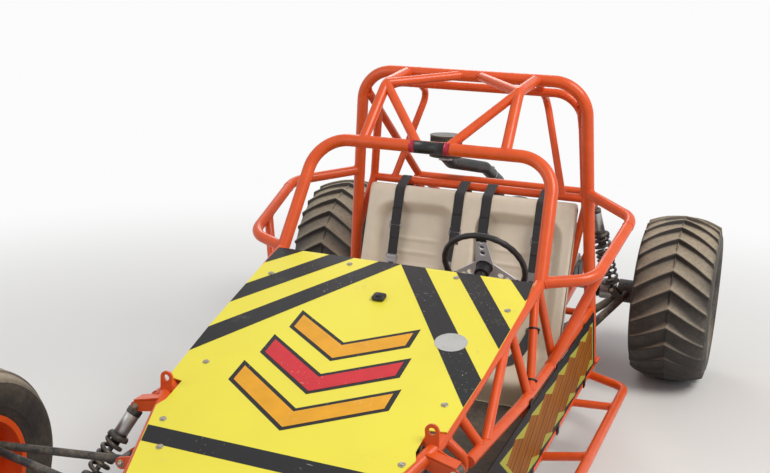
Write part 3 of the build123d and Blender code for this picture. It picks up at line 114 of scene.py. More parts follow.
class Shell:
    """Closed surfaces gathered into one mesh, each turned outward by the sign of its volume."""

    def __init__(self):
        self.points = []
        self.quads = []
        self.tris = []
        self.count = 0

    def add(self, points, quads, tris=None):
        """Add one closed surface of quads and, at its ends, triangles."""
        tris = np.zeros((0, 3), int) if tris is None else tris
        p = points.reshape(-1, 3)
        whole = np.concatenate([quads[:, [0, 1, 2]], quads[:, [0, 2, 3]], tris])
        a, b, c = (p[whole[:, i]] - p.mean(0) for i in range(3))
        if np.einsum("ij,ij->i", a, np.cross(b, c)).sum() < 0:
            quads, tris = quads[:, ::-1], tris[:, ::-1]
        self.points.append(p)
        self.quads.append(quads + self.count)
        self.tris.append(tris + self.count)
        self.count += len(p)

    def gathered(self):
        """All points, quads and triangles so far."""
        return (np.concatenate(parts) for parts in (self.points, self.quads, self.tris))

    def mirror(self):
        """Add the mirror image of all that was gathered, on the other side of X = 0."""
        points, quads, tris = self.gathered()
        self.points.append(points * (-1.0, 1.0, 1.0))
        self.quads.append(quads[:, ::-1] + self.count)
        self.tris.append(tris[:, ::-1] + self.count)
        self.count *= 2

    def make(self, name, material, body, slot, smooth=True, flip=1.0):
        """The finished object, at the origin, riding on its body; a flip of -1 mirrors it."""
        points, quads, tris = self.gathered()
        points = points * (flip, 1.0, 1.0)
        if flip < 0:
            quads, tris = quads[:, ::-1], tris[:, ::-1]
        mesh = bpy.data.meshes.new(name)
        mesh.vertices.add(len(points))
        mesh.vertices.foreach_set("co", points.astype(np.float32).ravel())
        corners = np.concatenate([quads.ravel(), tris.ravel()]).astype(np.int32)
        mesh.loops.add(len(corners))
        mesh.loops.foreach_set("vertex_index", corners)
        starts = np.concatenate([np.arange(len(quads)) * 4,
                                 quads.size + np.arange(len(tris)) * 3]).astype(np.int32)
        mesh.polygons.add(len(starts))
        mesh.polygons.foreach_set("loop_start", starts)
        mesh.update(calc_edges=True)
        mesh.validate()
        mesh.polygons.foreach_set("use_smooth", np.full(len(starts), smooth))
        piece = bpy.data.objects.new(name, mesh)
        bpy.context.scene.collection.objects.link(piece)
        mesh.materials.append(material)
        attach(piece, body)
        return piece


def grid_quads(rows, cols, wrap_rows=False, wrap_cols=False):
    """Quads between neighbours of a rows x cols grid, joined round where it wraps."""
    r = np.arange(rows if wrap_rows else rows - 1)[:, None]
    c = np.arange(cols if wrap_cols else cols - 1)[None, :]
    r2, c2 = (r + 1) % rows, (c + 1) % cols
    return np.stack([r * cols + c + 0 * r, r2 * cols + c, r2 * cols + c2, r * cols + c2],
                    axis=-1).reshape(-1, 4)


def tube(shell, path, radius, across, sides=16, closed=False):
    """A circle of a radius carried along a path; its zero direction is path tangent x across."""
    path = np.asarray(path, float)
    n = len(path)
    ahead = np.roll(path, -1, 0) - np.roll(path, 1, 0)
    if not closed:
        ahead[0] = path[1] - path[0]
        ahead[-1] = path[-1] - path[-2]
    t = unit(ahead)
    a = unit(np.cross(t, np.broadcast_to(across, t.shape)))
    b = np.cross(t, a)
    angle = full_turn(sides)
    r = np.broadcast_to(np.asarray(radius, float), (n,))[:, None, None]
    ring = np.cos(angle)[None, :, None] * a[:, None] + np.sin(angle)[None, :, None] * b[:, None]
    points = path[:, None] + r * ring
    quads = grid_quads(n, sides, closed, True)
    if closed:
        shell.add(points, quads)
        return
    around = np.arange(sides)
    ends = np.concatenate([points.reshape(-1, 3), path[[0, -1]]])
    low = np.stack([np.full(sides, n * sides), (around + 1) % sides, around], -1)
    high = np.stack([np.full(sides, n * sides + 1), (n - 1) * sides + around,
                     (n - 1) * sides + (around + 1) % sides], -1)
    shell.add(ends, quads, np.concatenate([low[:, ::-1], high[:, ::-1]]))


def turned(shell, origin, axis, profile, steps=48):
    """A closed profile of (radius, height) pairs turned once round an axis through origin."""
    axis = unit(axis)
    ref = np.array([0.0, 0.0, 1.0]) if abs(axis[2]) < 0.9 else SIDE_AXIS
    a = unit(np.cross(ref, axis))
    ring = ring_of(full_turn(steps), a, np.cross(axis, a))
    r, h = np.asarray(profile, float).T
    points = (np.asarray(origin, float) + r[None, :, None] * ring[:, None]
              + h[None, :, None] * axis)
    shell.add(points, grid_quads(steps, len(r), True, True))


def boss(shell, origin, axis, outline, steps, bore=0.0003):
    """An outline of (radius, height) pairs turned round an axis, closed along a thin bore."""
    low, high = (bore, outline[0][1]), (bore, outline[-1][1])
    turned(shell, origin, axis, [low, *outline, high], steps)


def knob(shell, centre, half, axes=None, power=0.35, rows=10, cols=20):
    """A superellipsoid: sign(cos)|cos|^power each way, so a low power is a rounded block."""
    v = np.linspace(-math.pi / 2, math.pi / 2, rows)[:, None]
    u = full_turn(cols)[None, :]

    def bulge(c):
        return np.sign(c) * np.abs(c) ** power

    x = bulge(np.cos(v)) * bulge(np.cos(u)) * half[0]
    y = bulge(np.cos(v)) * bulge(np.sin(u)) * half[1]
    z = bulge(np.sin(v)) * half[2] + 0 * u
    local = np.stack([x, y, z], -1)[1:-1]
    axes = np.eye(3) if axes is None else np.asarray(axes, float)
    points = np.asarray(centre, float) + local @ axes
    poles = np.asarray(centre, float) + np.array([[0, 0, -half[2]], [0, 0, half[2]]]) @ axes
    n = rows - 2
    around = np.arange(cols)
    ahead = (around + 1) % cols
    low = np.stack([np.full(cols, n * cols), around, ahead], -1)
    high = np.stack([np.full(cols, n * cols + 1), (n - 1) * cols + ahead,
                     (n - 1) * cols + around], -1)
    shell.add(np.concatenate([points.reshape(-1, 3), poles]),
              grid_quads(n, cols, False, True)[:, ::-1], np.concatenate([low, high])[:, ::-1])


def slab(shell, outer, inner):
    """A closed slab between two grids of points of one shape, joined round their rims."""
    rows, cols = outer.shape[:2]
    faces = grid_quads(rows, cols)
    back = rows * cols
    rim = np.concatenate([np.arange(cols), np.arange(1, rows) * cols + cols - 1,
                          (rows - 1) * cols + np.arange(cols - 2, -1, -1),
                          np.arange(rows - 2, 0, -1) * cols])
    ahead = np.roll(rim, -1)
    wall = np.stack([rim, ahead, ahead + back, rim + back], -1)
    points = np.concatenate([outer.reshape(-1, 3), inner.reshape(-1, 3)])
    shell.add(points, np.concatenate([faces[:, ::-1], faces + back, wall]))


def axes_on(normal):
    """A knob's three axes on a face that looks along normal: X, the way up it, and normal."""
    return np.stack([SIDE_AXIS, np.cross(normal, SIDE_AXIS), normal])


def bilinear(corners, rows, cols):
    """The bilinear patch between four corners, given in order round it."""
    a, b, c, d = (np.asarray(corner, float) for corner in corners)
    v = np.linspace(0, 1, rows)[:, None, None]
    u = np.linspace(0, 1, cols)[None, :, None]
    return (1 - v) * ((1 - u) * a + u * b) + v * ((1 - u) * d + u * c)


# Nodes


def feed(tree, socket, value):
    """Link an input where the value is a socket, or else set it."""
    if hasattr(value, "is_output"):
        tree.links.new(value, socket)
    else:
        socket.default_value = value


def math_node(tree, operation, *values):
    """A Math node whose inputs are sockets or numbers; returns its output."""
    node = tree.nodes.new("ShaderNodeMath")
    node.operation = operation
    for socket, value in zip(node.inputs, values):
        feed(tree, socket, value)
    return node.outputs[0]


def vector_node(tree, operation, *values):
    """A Vector Math node whose inputs are sockets or vectors; returns its output."""
    node = tree.nodes.new("ShaderNodeVectorMath")
    node.operation = operation
    for socket, value in zip(node.inputs, values):
        feed(tree, socket, value)
    return node.outputs["Value" if operation == "LENGTH" else "Vector"]


def mix_colour(tree, factor, a, b):
    """A colour Mix node; each input is a socket or a value."""
    node = tree.nodes.new("ShaderNodeMix")
    node.data_type = "RGBA"
    for i, value in ((0, factor), (6, a), (7, b)):
        feed(tree, node.inputs[i], value)
    return node.outputs[2]


def mix_shader(tree, factor, a, b):
    """A Mix Shader node between two shaders."""
    node = tree.nodes.new("ShaderNodeMixShader")
    for socket, value in zip(node.inputs, (factor, a, b)):
        tree.links.new(value, socket)
    return node.outputs[0]


def coordinate(tree, kind="Object"):
    """The X, Y and Z sockets of a texture coordinate."""
    place = tree.nodes.new("ShaderNodeTexCoord")
    split = tree.nodes.new("ShaderNodeSeparateXYZ")
    tree.links.new(place.outputs[kind], split.inputs[0])
    return split.outputs


def ramp(tree, value, low, high, interpolation="LINEAR"):
    """A Map Range node from zero at low to one at high."""
    node = tree.nodes.new("ShaderNodeMapRange")
    node.interpolation_type = interpolation
    for label, number in (("Value", value), ("From Min", low), ("From Max", high)):
        feed(tree, node.inputs[label], number)
    return node.outputs[0]


def clamp(tree, value, top=1.0):
    """A value kept between zero and its top."""
    node = tree.nodes.new("ShaderNodeClamp")
    node.inputs["Max"].default_value = top
    tree.links.new(value, node.inputs[0])
    return node.outputs[0]


def noise(tree, scale, detail=4.0, rough=0.55, stretch=(1, 1, 1), turn=(0, 0, 0)):
    """Noise on Object coordinates, stretched and turned by a Mapping node."""
    place = tree.nodes.new("ShaderNodeTexCoord")
    mapping = tree.nodes.new("ShaderNodeMapping")
    mapping.inputs["Scale"].default_value = stretch
    mapping.inputs["Rotation"].default_value = turn
    texture = tree.nodes.new("ShaderNodeTexNoise")
    texture.inputs["Detail"].default_value = detail
    texture.inputs["Roughness"].default_value = rough
    tree.links.new(place.outputs["Object"], mapping.inputs["Vector"])
    tree.links.new(mapping.outputs[0], texture.inputs["Vector"])
    feed(tree, texture.inputs["Scale"], scale)
    return texture.outputs["Fac"]


def blend_value(tree, mask, low, high):
    """The value low outside a mask and high inside it: low + mask * (high - low)."""
    if hasattr(low, "is_output"):
        return math_node(tree, "MULTIPLY_ADD", mask, math_node(tree, "SUBTRACT", high, low), low)
    return math_node(tree, "MULTIPLY_ADD", mask, high - low, low)


def rgba(colour):
    """A colour of three parts with full alpha."""
    return (colour[0], colour[1], colour[2], 1.0)


# Shared effects, each a shader node group with named sockets

WHITE = (1.0, 1.0, 1.0, 1.0)
GROUPS = {}
MATERIALS = {}


def new_group(name, inputs, outputs):
    """An empty shader node group; returns its tree and the sockets at its two ends.

    An input is a colour where its default has four parts, and an output where it is named Color.
    """
    tree = bpy.data.node_groups.new(name, "ShaderNodeTree")
    for label, default in inputs.items():
        kind = "NodeSocketColor" if isinstance(default, tuple) else "NodeSocketFloat"
        socket = tree.interface.new_socket(name=label, in_out="INPUT", socket_type=kind)
        socket.default_value = default
    for label in outputs:
        kind = "NodeSocketColor" if label == "Color" else "NodeSocketFloat"
        tree.interface.new_socket(name=label, in_out="OUTPUT", socket_type=kind)
    first, last = tree.nodes.new("NodeGroupInput"), tree.nodes.new("NodeGroupOutput")
    return tree, first.outputs, last.inputs


def put_out(tree, outs, **values):
    """Link each value to the group's output of its name."""
    for label, value in values.items():
        tree.links.new(value, outs[label])
    return tree


def make_dust_group():
    """Sand dust: patchy noise, thicker on faces that look up, over any colour."""
    tree, ins, outs = new_group(
        "sand_dust", {"Color": WHITE, "Dust": (0.5, 0.38, 0.25, 1.0), "Amount": 0.4,
                      "Scale": 9.0, "Roughness": 0.4}, ("Color", "Roughness"))
    calc = partial(math_node, tree)
    up = calc("MULTIPLY_ADD", coordinate(tree, "Normal")["Z"], 0.35, 0.55)
    broad = noise(tree, ins["Scale"], 5.0, 0.6)
    fine = noise(tree, calc("MULTIPLY", ins["Scale"], 11.0), 3.0, 0.7)
    patch = calc("MULTIPLY_ADD", fine, 0.35, broad)
    above = calc("SUBTRACT", patch, calc("SUBTRACT", 1.05, ins["Amount"]))
    mask = clamp(tree, calc("MULTIPLY", calc("MULTIPLY", above, 2.2), up))
    cover = calc("MULTIPLY", mask, 0.85)
    gap = calc("SUBTRACT", 0.92, ins["Roughness"])
    return put_out(tree, outs, Color=mix_colour(tree, cover, ins["Color"], ins["Dust"]),
                   Roughness=calc("MULTIPLY_ADD", gap, mask, ins["Roughness"]))


def make_scuff_group():
    """Scratches and chips: thin streaks of stretched noise inside broad worn patches."""
    tree, ins, outs = new_group(
        "scuffs", {"Color": WHITE, "Bare": (0.4, 0.4, 0.4, 1.0), "Amount": 0.3, "Scale": 6.0},
        ("Color", "Height"))
    calc = partial(math_node, tree)
    worn = noise(tree, ins["Scale"], 3.0, 0.5)
    fine = calc("MULTIPLY", ins["Scale"], 6.0)
    streak = calc("MAXIMUM", noise(tree, fine, 2.0, 0.5, (1.0, 9.0, 9.0), (0.3, 0.2, 0.7)),
                  noise(tree, fine, 2.0, 0.5, (9.0, 1.0, 9.0), (0.1, 0.4, -0.5)))
    chips = noise(tree, calc("MULTIPLY", ins["Scale"], 22.0), 4.0, 0.75)
    level = calc("MULTIPLY_ADD", ins["Amount"], -0.22, 0.78)
    marks = calc("MAXIMUM", calc("GREATER_THAN", streak, level),
                 calc("GREATER_THAN", chips, calc("ADD", level, 0.03)))
    area = calc("GREATER_THAN", worn, calc("MULTIPLY_ADD", ins["Amount"], -0.25, 0.6))
    mask = calc("MULTIPLY", marks, area)
    return put_out(tree, outs, Color=mix_colour(tree, mask, ins["Color"], ins["Bare"]),
                   Height=calc("MULTIPLY", mask, -1.0))


def make_grain_group():
    """Fine surface grain as a height, and a broad noise of a twentieth of its scale as a shade."""
    tree, ins, outs = new_group("grain", {"Scale": 300.0}, ("Height", "Shade"))
    broad = math_node(tree, "MULTIPLY", ins["Scale"], 0.05)
    return put_out(tree, outs, Height=noise(tree, ins["Scale"], 4.0, 0.6),
                   Shade=noise(tree, broad, 3.0, 0.5))


def make_weave_group():
    """Webbing: long ribs across X and finer weft down the strap, as a height from sine waves, and
    as painted shade, darker in the grooves.
    """
    tree, ins, outs = new_group("webbing", {"Ribs": 1.0, "Weft": 0.6}, ("Height", "Shade"))
    calc = partial(math_node, tree)
    place = coordinate(tree)
    ribs = calc("SINE", calc("MULTIPLY", place["X"], 1640.0))
    weft = calc("SINE", calc("MULTIPLY", calc("ADD", place["Y"], place["Z"]), 3400.0))
    high = calc("ADD", calc("MULTIPLY", weft, ins["Weft"]), calc("MULTIPLY", ribs, ins["Ribs"]))
    # the Shade output here is painted shade, read from the weave's height
    return put_out(tree, outs, Height=high, Shade=calc("MULTIPLY_ADD", high, 0.22, 0.5))


def make_groups():
    """Build the shared effects once."""
    GROUPS.update(dust=make_dust_group(), scuffs=make_scuff_group(), grain=make_grain_group(),
                  weave=make_weave_group())


def place_group(tree, key, **values):
    """A placed effect with its own values; returns its outputs."""
    node = tree.nodes.new("ShaderNodeGroup")
    node.node_tree = GROUPS[key]
    for label, value in values.items():
        feed(tree, node.inputs[label], value)
    return node.outputs


# Materials


def new_material(name):
    """A material that is kept by its name; returns it, its tree and its shader's inputs."""
    material = bpy.data.materials.new(name)
    material.use_nodes = True
    MATERIALS[name] = material
    return material, material.node_tree, material.node_tree.nodes["Principled BSDF"].inputs


def lay_dust(tree, shader, base, sand, dust, dust_scale, rough):
    """Sand dust over a colour, into a shader's colour and roughness."""
    film = place_group(tree, "dust", Color=base, Dust=rgba(sand), Amount=dust, Scale=dust_scale,
                       Roughness=rough)
    tree.links.new(film["Color"], shader["Base Color"])
    tree.links.new(film["Roughness"], shader["Roughness"])


def lay_relief(tree, shader, height, strength, distance):
    """A height as relief, into a shader's normal."""
    relief = tree.nodes.new("ShaderNodeBump")
    relief.inputs["Strength"].default_value = strength
    relief.inputs["Distance"].default_value = distance
    tree.links.new(height, relief.inputs["Height"])
    tree.links.new(relief.outputs[0], shader["Normal"])


def surface_material(name, colour, rough, metallic=0.0, coat=0.0, shade=None, bare=None, worn=0.0,
                     worn_scale=6.0, dust=0.3, dust_scale=9.0, grain=300.0, bump=0.1,
                     sand=(0.50, 0.38, 0.25), shine=0.5, pattern=None, regions=()):
    """A finish made of a shaded colour, its scuffs, its dust and its grain.

    A region is a mask function with the colour, roughness and metallic that it lays over.
    """
    material, tree, shader = new_material(name)
    for label, value in (("Metallic", metallic), ("Coat Weight", coat), ("Coat Roughness", 0.18),
                         ("Specular IOR Level", shine)):
        shader[label].default_value = value
    fine = place_group(tree, "grain", Scale=grain)
    shade = tuple(0.72 * c for c in colour) if shade is None else shade
    base = mix_colour(tree, fine["Shade"], rgba(colour), rgba(shade))
    if pattern is not None:
        base = pattern(tree, base)
    metal = metallic
    for mask_of, region_colour, region_rough, region_metal in regions:
        mask = mask_of(tree)
        base = mix_colour(tree, mask, base, rgba(region_colour))
        rough = blend_value(tree, mask, rough, region_rough)
        metal = blend_value(tree, mask, metal, region_metal)
    if regions:
        tree.links.new(metal, shader["Metallic"])
    height = math_node(tree, "MULTIPLY", fine["Height"], 0.25)
    if bare is not None:
        scuffs = place_group(tree, "scuffs", Color=base, Bare=rgba(bare), Amount=worn,
                             Scale=worn_scale)
        base = scuffs["Color"]
        height = math_node(tree, "ADD", height, scuffs["Height"])
    lay_dust(tree, shader, base, sand, dust, dust_scale, rough)
    lay_relief(tree, shader, height, bump, 0.001)
    return material


def webbing_material(name, colour):
    """Woven polyester: the webbing's ribs as painted shade, dark in their grooves and light on
    their crests, and as relief under a little dust.
    """
    material, tree, shader = new_material(name)
    shader["Sheen Weight"].default_value = 0.15
    weave = place_group(tree, "weave", Ribs=0.8, Weft=0.5)
    # painted shade and light: a darker and a lighter copy of the colour, mixed by the weave's
    # height
    base = mix_colour(tree, weave["Shade"], rgba([0.55 * c for c in colour]),
                      rgba([2.1 * c for c in colour]))
    lay_dust(tree, shader, base, (0.42, 0.34, 0.24), 0.22, 16.0, 0.78)
    lay_relief(tree, shader, weave["Height"], 0.5, 0.0004)
    return material


OPEN = (None, None, None)


def in_box(low=OPEN, high=OPEN):
    """A mask function: one where each Object coordinate lies between its two values.

    None leaves an axis open.
    """
    def mask_of(tree):
        place = coordinate(tree)
        walls = [math_node(tree, test, place[i], limits[i]) for i in range(3)
                 for test, limits in (("GREATER_THAN", low), ("LESS_THAN", high))
                 if limits[i] is not None]
        return reduce(partial(math_node, tree, "MULTIPLY"), walls)
    return mask_of


def near_line(centre, axis, reach, within=None):
    """A mask function: one where |(p - centre) x axis| is below reach, within another mask."""
    def mask_of(tree):
        place = tree.nodes.new("ShaderNodeTexCoord")
        arm = vector_node(tree, "SUBTRACT", place.outputs["Object"], tuple(centre))
        across = vector_node(tree, "CROSS_PRODUCT", arm, tuple(axis))
        mask = math_node(tree, "LESS_THAN", vector_node(tree, "LENGTH", across), reach)
        return math_node(tree, "MULTIPLY", mask, within(tree)) if within else mask
    return mask_of


def panel_strokes(tree, base):
    """Long slanted strokes on a side panel, along the lines where z - 0.36 y is constant.

    Orange strokes, darkened to brown as painted shade, with thin dark lines between them run in a
    saw-toothed edge of yellow darkened to olive green as painted shade.
    """
    calc = partial(math_node, tree)
    place = coordinate(tree)
    y, z = place["Y"], place["Z"]
    saw = calc("FRACT", calc("MULTIPLY", calc("MULTIPLY_ADD", y, -0.36, z), 13.3))
    front = calc("MULTIPLY_ADD", z, 1.25, y)

    def strip(low, low_rise, high, high_rise, nose, tail):
        """One between a low and a high edge, each raised by the saw, and between two ends."""
        over = calc("GREATER_THAN", calc("MULTIPLY_ADD", saw, -low_rise, z), low)
        under = calc("LESS_THAN", calc("MULTIPLY_ADD", saw, -high_rise, z), high)
        ends = calc("MULTIPLY", calc("GREATER_THAN", front, nose), calc("LESS_THAN", y, tail))
        return calc("MULTIPLY", calc("MULTIPLY", over, under), ends)

    middle = calc("ABSOLUTE", calc("SUBTRACT", saw, 0.47))
    line = calc("MAXIMUM", calc("LESS_THAN", saw, 0.095), calc("LESS_THAN", middle, 0.030))
    # painted shade: the strokes' orange is written as dark brown, as if in shadow
    shaded_stroke = mix_colour(tree, noise(tree, 7.0, 3.0, 0.6), rgba((0.40, 0.135, 0.004)),
                        rgba((0.20, 0.058, 0.004)))
    shaded_stroke = mix_colour(tree, line, shaded_stroke, rgba((0.075, 0.007, 0.003)))
    edge = strip(0.264, 0.014, 0.448, 0.012, -0.43, 0.505)
    core = strip(0.270, 0.036, 0.420, 0.038, -0.405, 0.490)
    # painted shade: the edge's yellow is written as dark olive green, as if in shadow
    base = mix_colour(tree, edge, base, rgba((0.42, 0.40, 0.055)))
    return mix_colour(tree, core, base, shaded_stroke)


def tread_sand_and_painted_light(tree, base, wheel):
    """Sand on a tyre in the hollows below 0.96 of its radius, and on faces that look up a light
    tan that is partly sand and partly painted sunlight.
    """
    calc = partial(math_node, tree)
    _, centre_y, radius = wheel
    place = coordinate(tree)
    y = calc("SUBTRACT", place["Y"], centre_y)
    z = calc("SUBTRACT", place["Z"], radius)
    reach = calc("SQRT", calc("ADD", calc("MULTIPLY", y, y), calc("MULTIPLY", z, z)))
    hollow = ramp(tree, reach, 0.96 * radius, 0.88 * radius)
    up = ramp(tree, coordinate(tree, "Normal")["Z"], 0.25, 0.95)
    patch = calc("MULTIPLY_ADD", noise(tree, 9.0, 6.0, 0.7), 3.4, -1.25)
    fine = calc("MULTIPLY_ADD", noise(tree, 70.0, 4.0, 0.7), 1.6, -0.3)
    # painted sunlight: faces that look up get a light tan, partly real sand and partly painted
    # light on the tyre's top
    top_sand_and_painted_light = calc("MULTIPLY", up, calc("MULTIPLY_ADD", fine, 0.6, 0.55))
    caught = calc("MULTIPLY", hollow, calc("MULTIPLY", patch, fine))
    amount = calc("ADD", calc("MULTIPLY", top_sand_and_painted_light, 0.90), calc("MULTIPLY", caught, 0.24))
    # the tan is made lighter as painted sunlight on the top faces
    return mix_colour(tree, clamp(tree, amount, 0.88), base, rgba((0.50, 0.41, 0.295)))


# Settings that a user may change


def colour_setting(name, description, default):
    """A colour of three parts."""
    return bpy.props.FloatVectorProperty(name=name, description=description, subtype="COLOR",
                                         default=default, min=0, max=1)


def length_setting(name, description, default):
    """A length in metres."""
    return bpy.props.FloatProperty(name=name, description=description, unit="LENGTH",
                                   default=default)


def power_setting(name, description, default):
    """The power of a lamp in watts."""
    return bpy.props.FloatProperty(name=name, description=description, unit="POWER",
                                   default=default)


class FramePaint(bpy.types.PropertyGroup):
    """Colours of the painted tubes and sheets."""
    orange: colour_setting("Orange", "Powder coat of the tubes", (0.84, 0.112, 0.014))
    yellow: colour_setting("Yellow", "Ground of the hood", (0.91, 0.82, 0.062))
    band: colour_setting("Band", "Black of the side panels", (0.018, 0.018, 0.020))
    dust: bpy.props.FloatProperty(
        name="Dust", description="How much sand dust lies on the paint", subtype="FACTOR",
        default=0.16, min=0, max=1)
    bead: length_setting("Weld bead", "Radius of a weld bead", 0.0029)


class HoodMarks(bpy.types.PropertyGroup):
    """Sizes of the marks on the hood."""
    film: length_setting("Film", "Thickness of a stuck-on band", 0.0004)
    arrow_width: length_setting("Arrow width", "Width of the arrow marks", 0.56)
    arrow_count: bpy.props.IntProperty(
        name="Arrows", description="Number of arrow marks", default=3, min=1)


class TyreShape(bpy.types.PropertyGroup):
    """Sizes of the tyres."""
    paddles: bpy.props.IntProperty(
        name="Paddles", description="Paddles round a rear tyre", default=28, min=8)
    paddle_height: length_setting("Paddle height", "Height of a paddle over the casing", 0.030)
    sweep: length_setting("Sweep", "How far a paddle's arms trail its tip", 0.112)


class SpringShape(bpy.types.PropertyGroup):
    """Sizes of the coil springs."""
    front_wire: length_setting("Front wire", "Wire thickness of a front spring", 0.0145)
    rear_wire: length_setting("Rear wire", "Wire thickness of a rear spring", 0.0135)


class HarnessShape(bpy.types.PropertyGroup):
    """Sizes of the harness webbing."""
    width: length_setting("Width", "Width of a strap", 0.046)
    thickness: length_setting("Thickness", "Thickness of a strap", 0.0022)


class SeatShape(bpy.types.PropertyGroup):
    """Colour of the moulded seats."""
    vinyl: colour_setting("Seat", "Colour of the moulding", (0.82, 0.74, 0.59))


class StageSettings(bpy.types.PropertyGroup):
    """The studio floor and lamps."""
    floor: colour_setting("Floor", "Colour of the studio floor", (0.80, 0.79, 0.77))
    key: power_setting("Key", "Power of the main soft lamp", 320.0)
    fill: power_setting("Fill", "Power of the fill lamp and the back lamp", 90.0)
    sky: bpy.props.FloatProperty(
        name="Sky", description="Level of the surrounding light", default=0.46)


SETTINGS = {"buggy_paint": FramePaint, "buggy_hood": HoodMarks, "buggy_tyres": TyreShape,
            "buggy_springs": SpringShape, "buggy_seats": SeatShape,
            "buggy_harness": HarnessShape, "buggy_stage": StageSettings}


def assign(node, material):
    """Give a CAD node one material."""
    slots = frame["nodes"][node].data.materials
    if len(slots) == 0:
        slots.append(material)
    for i in range(len(slots)):
        slots[i] = material


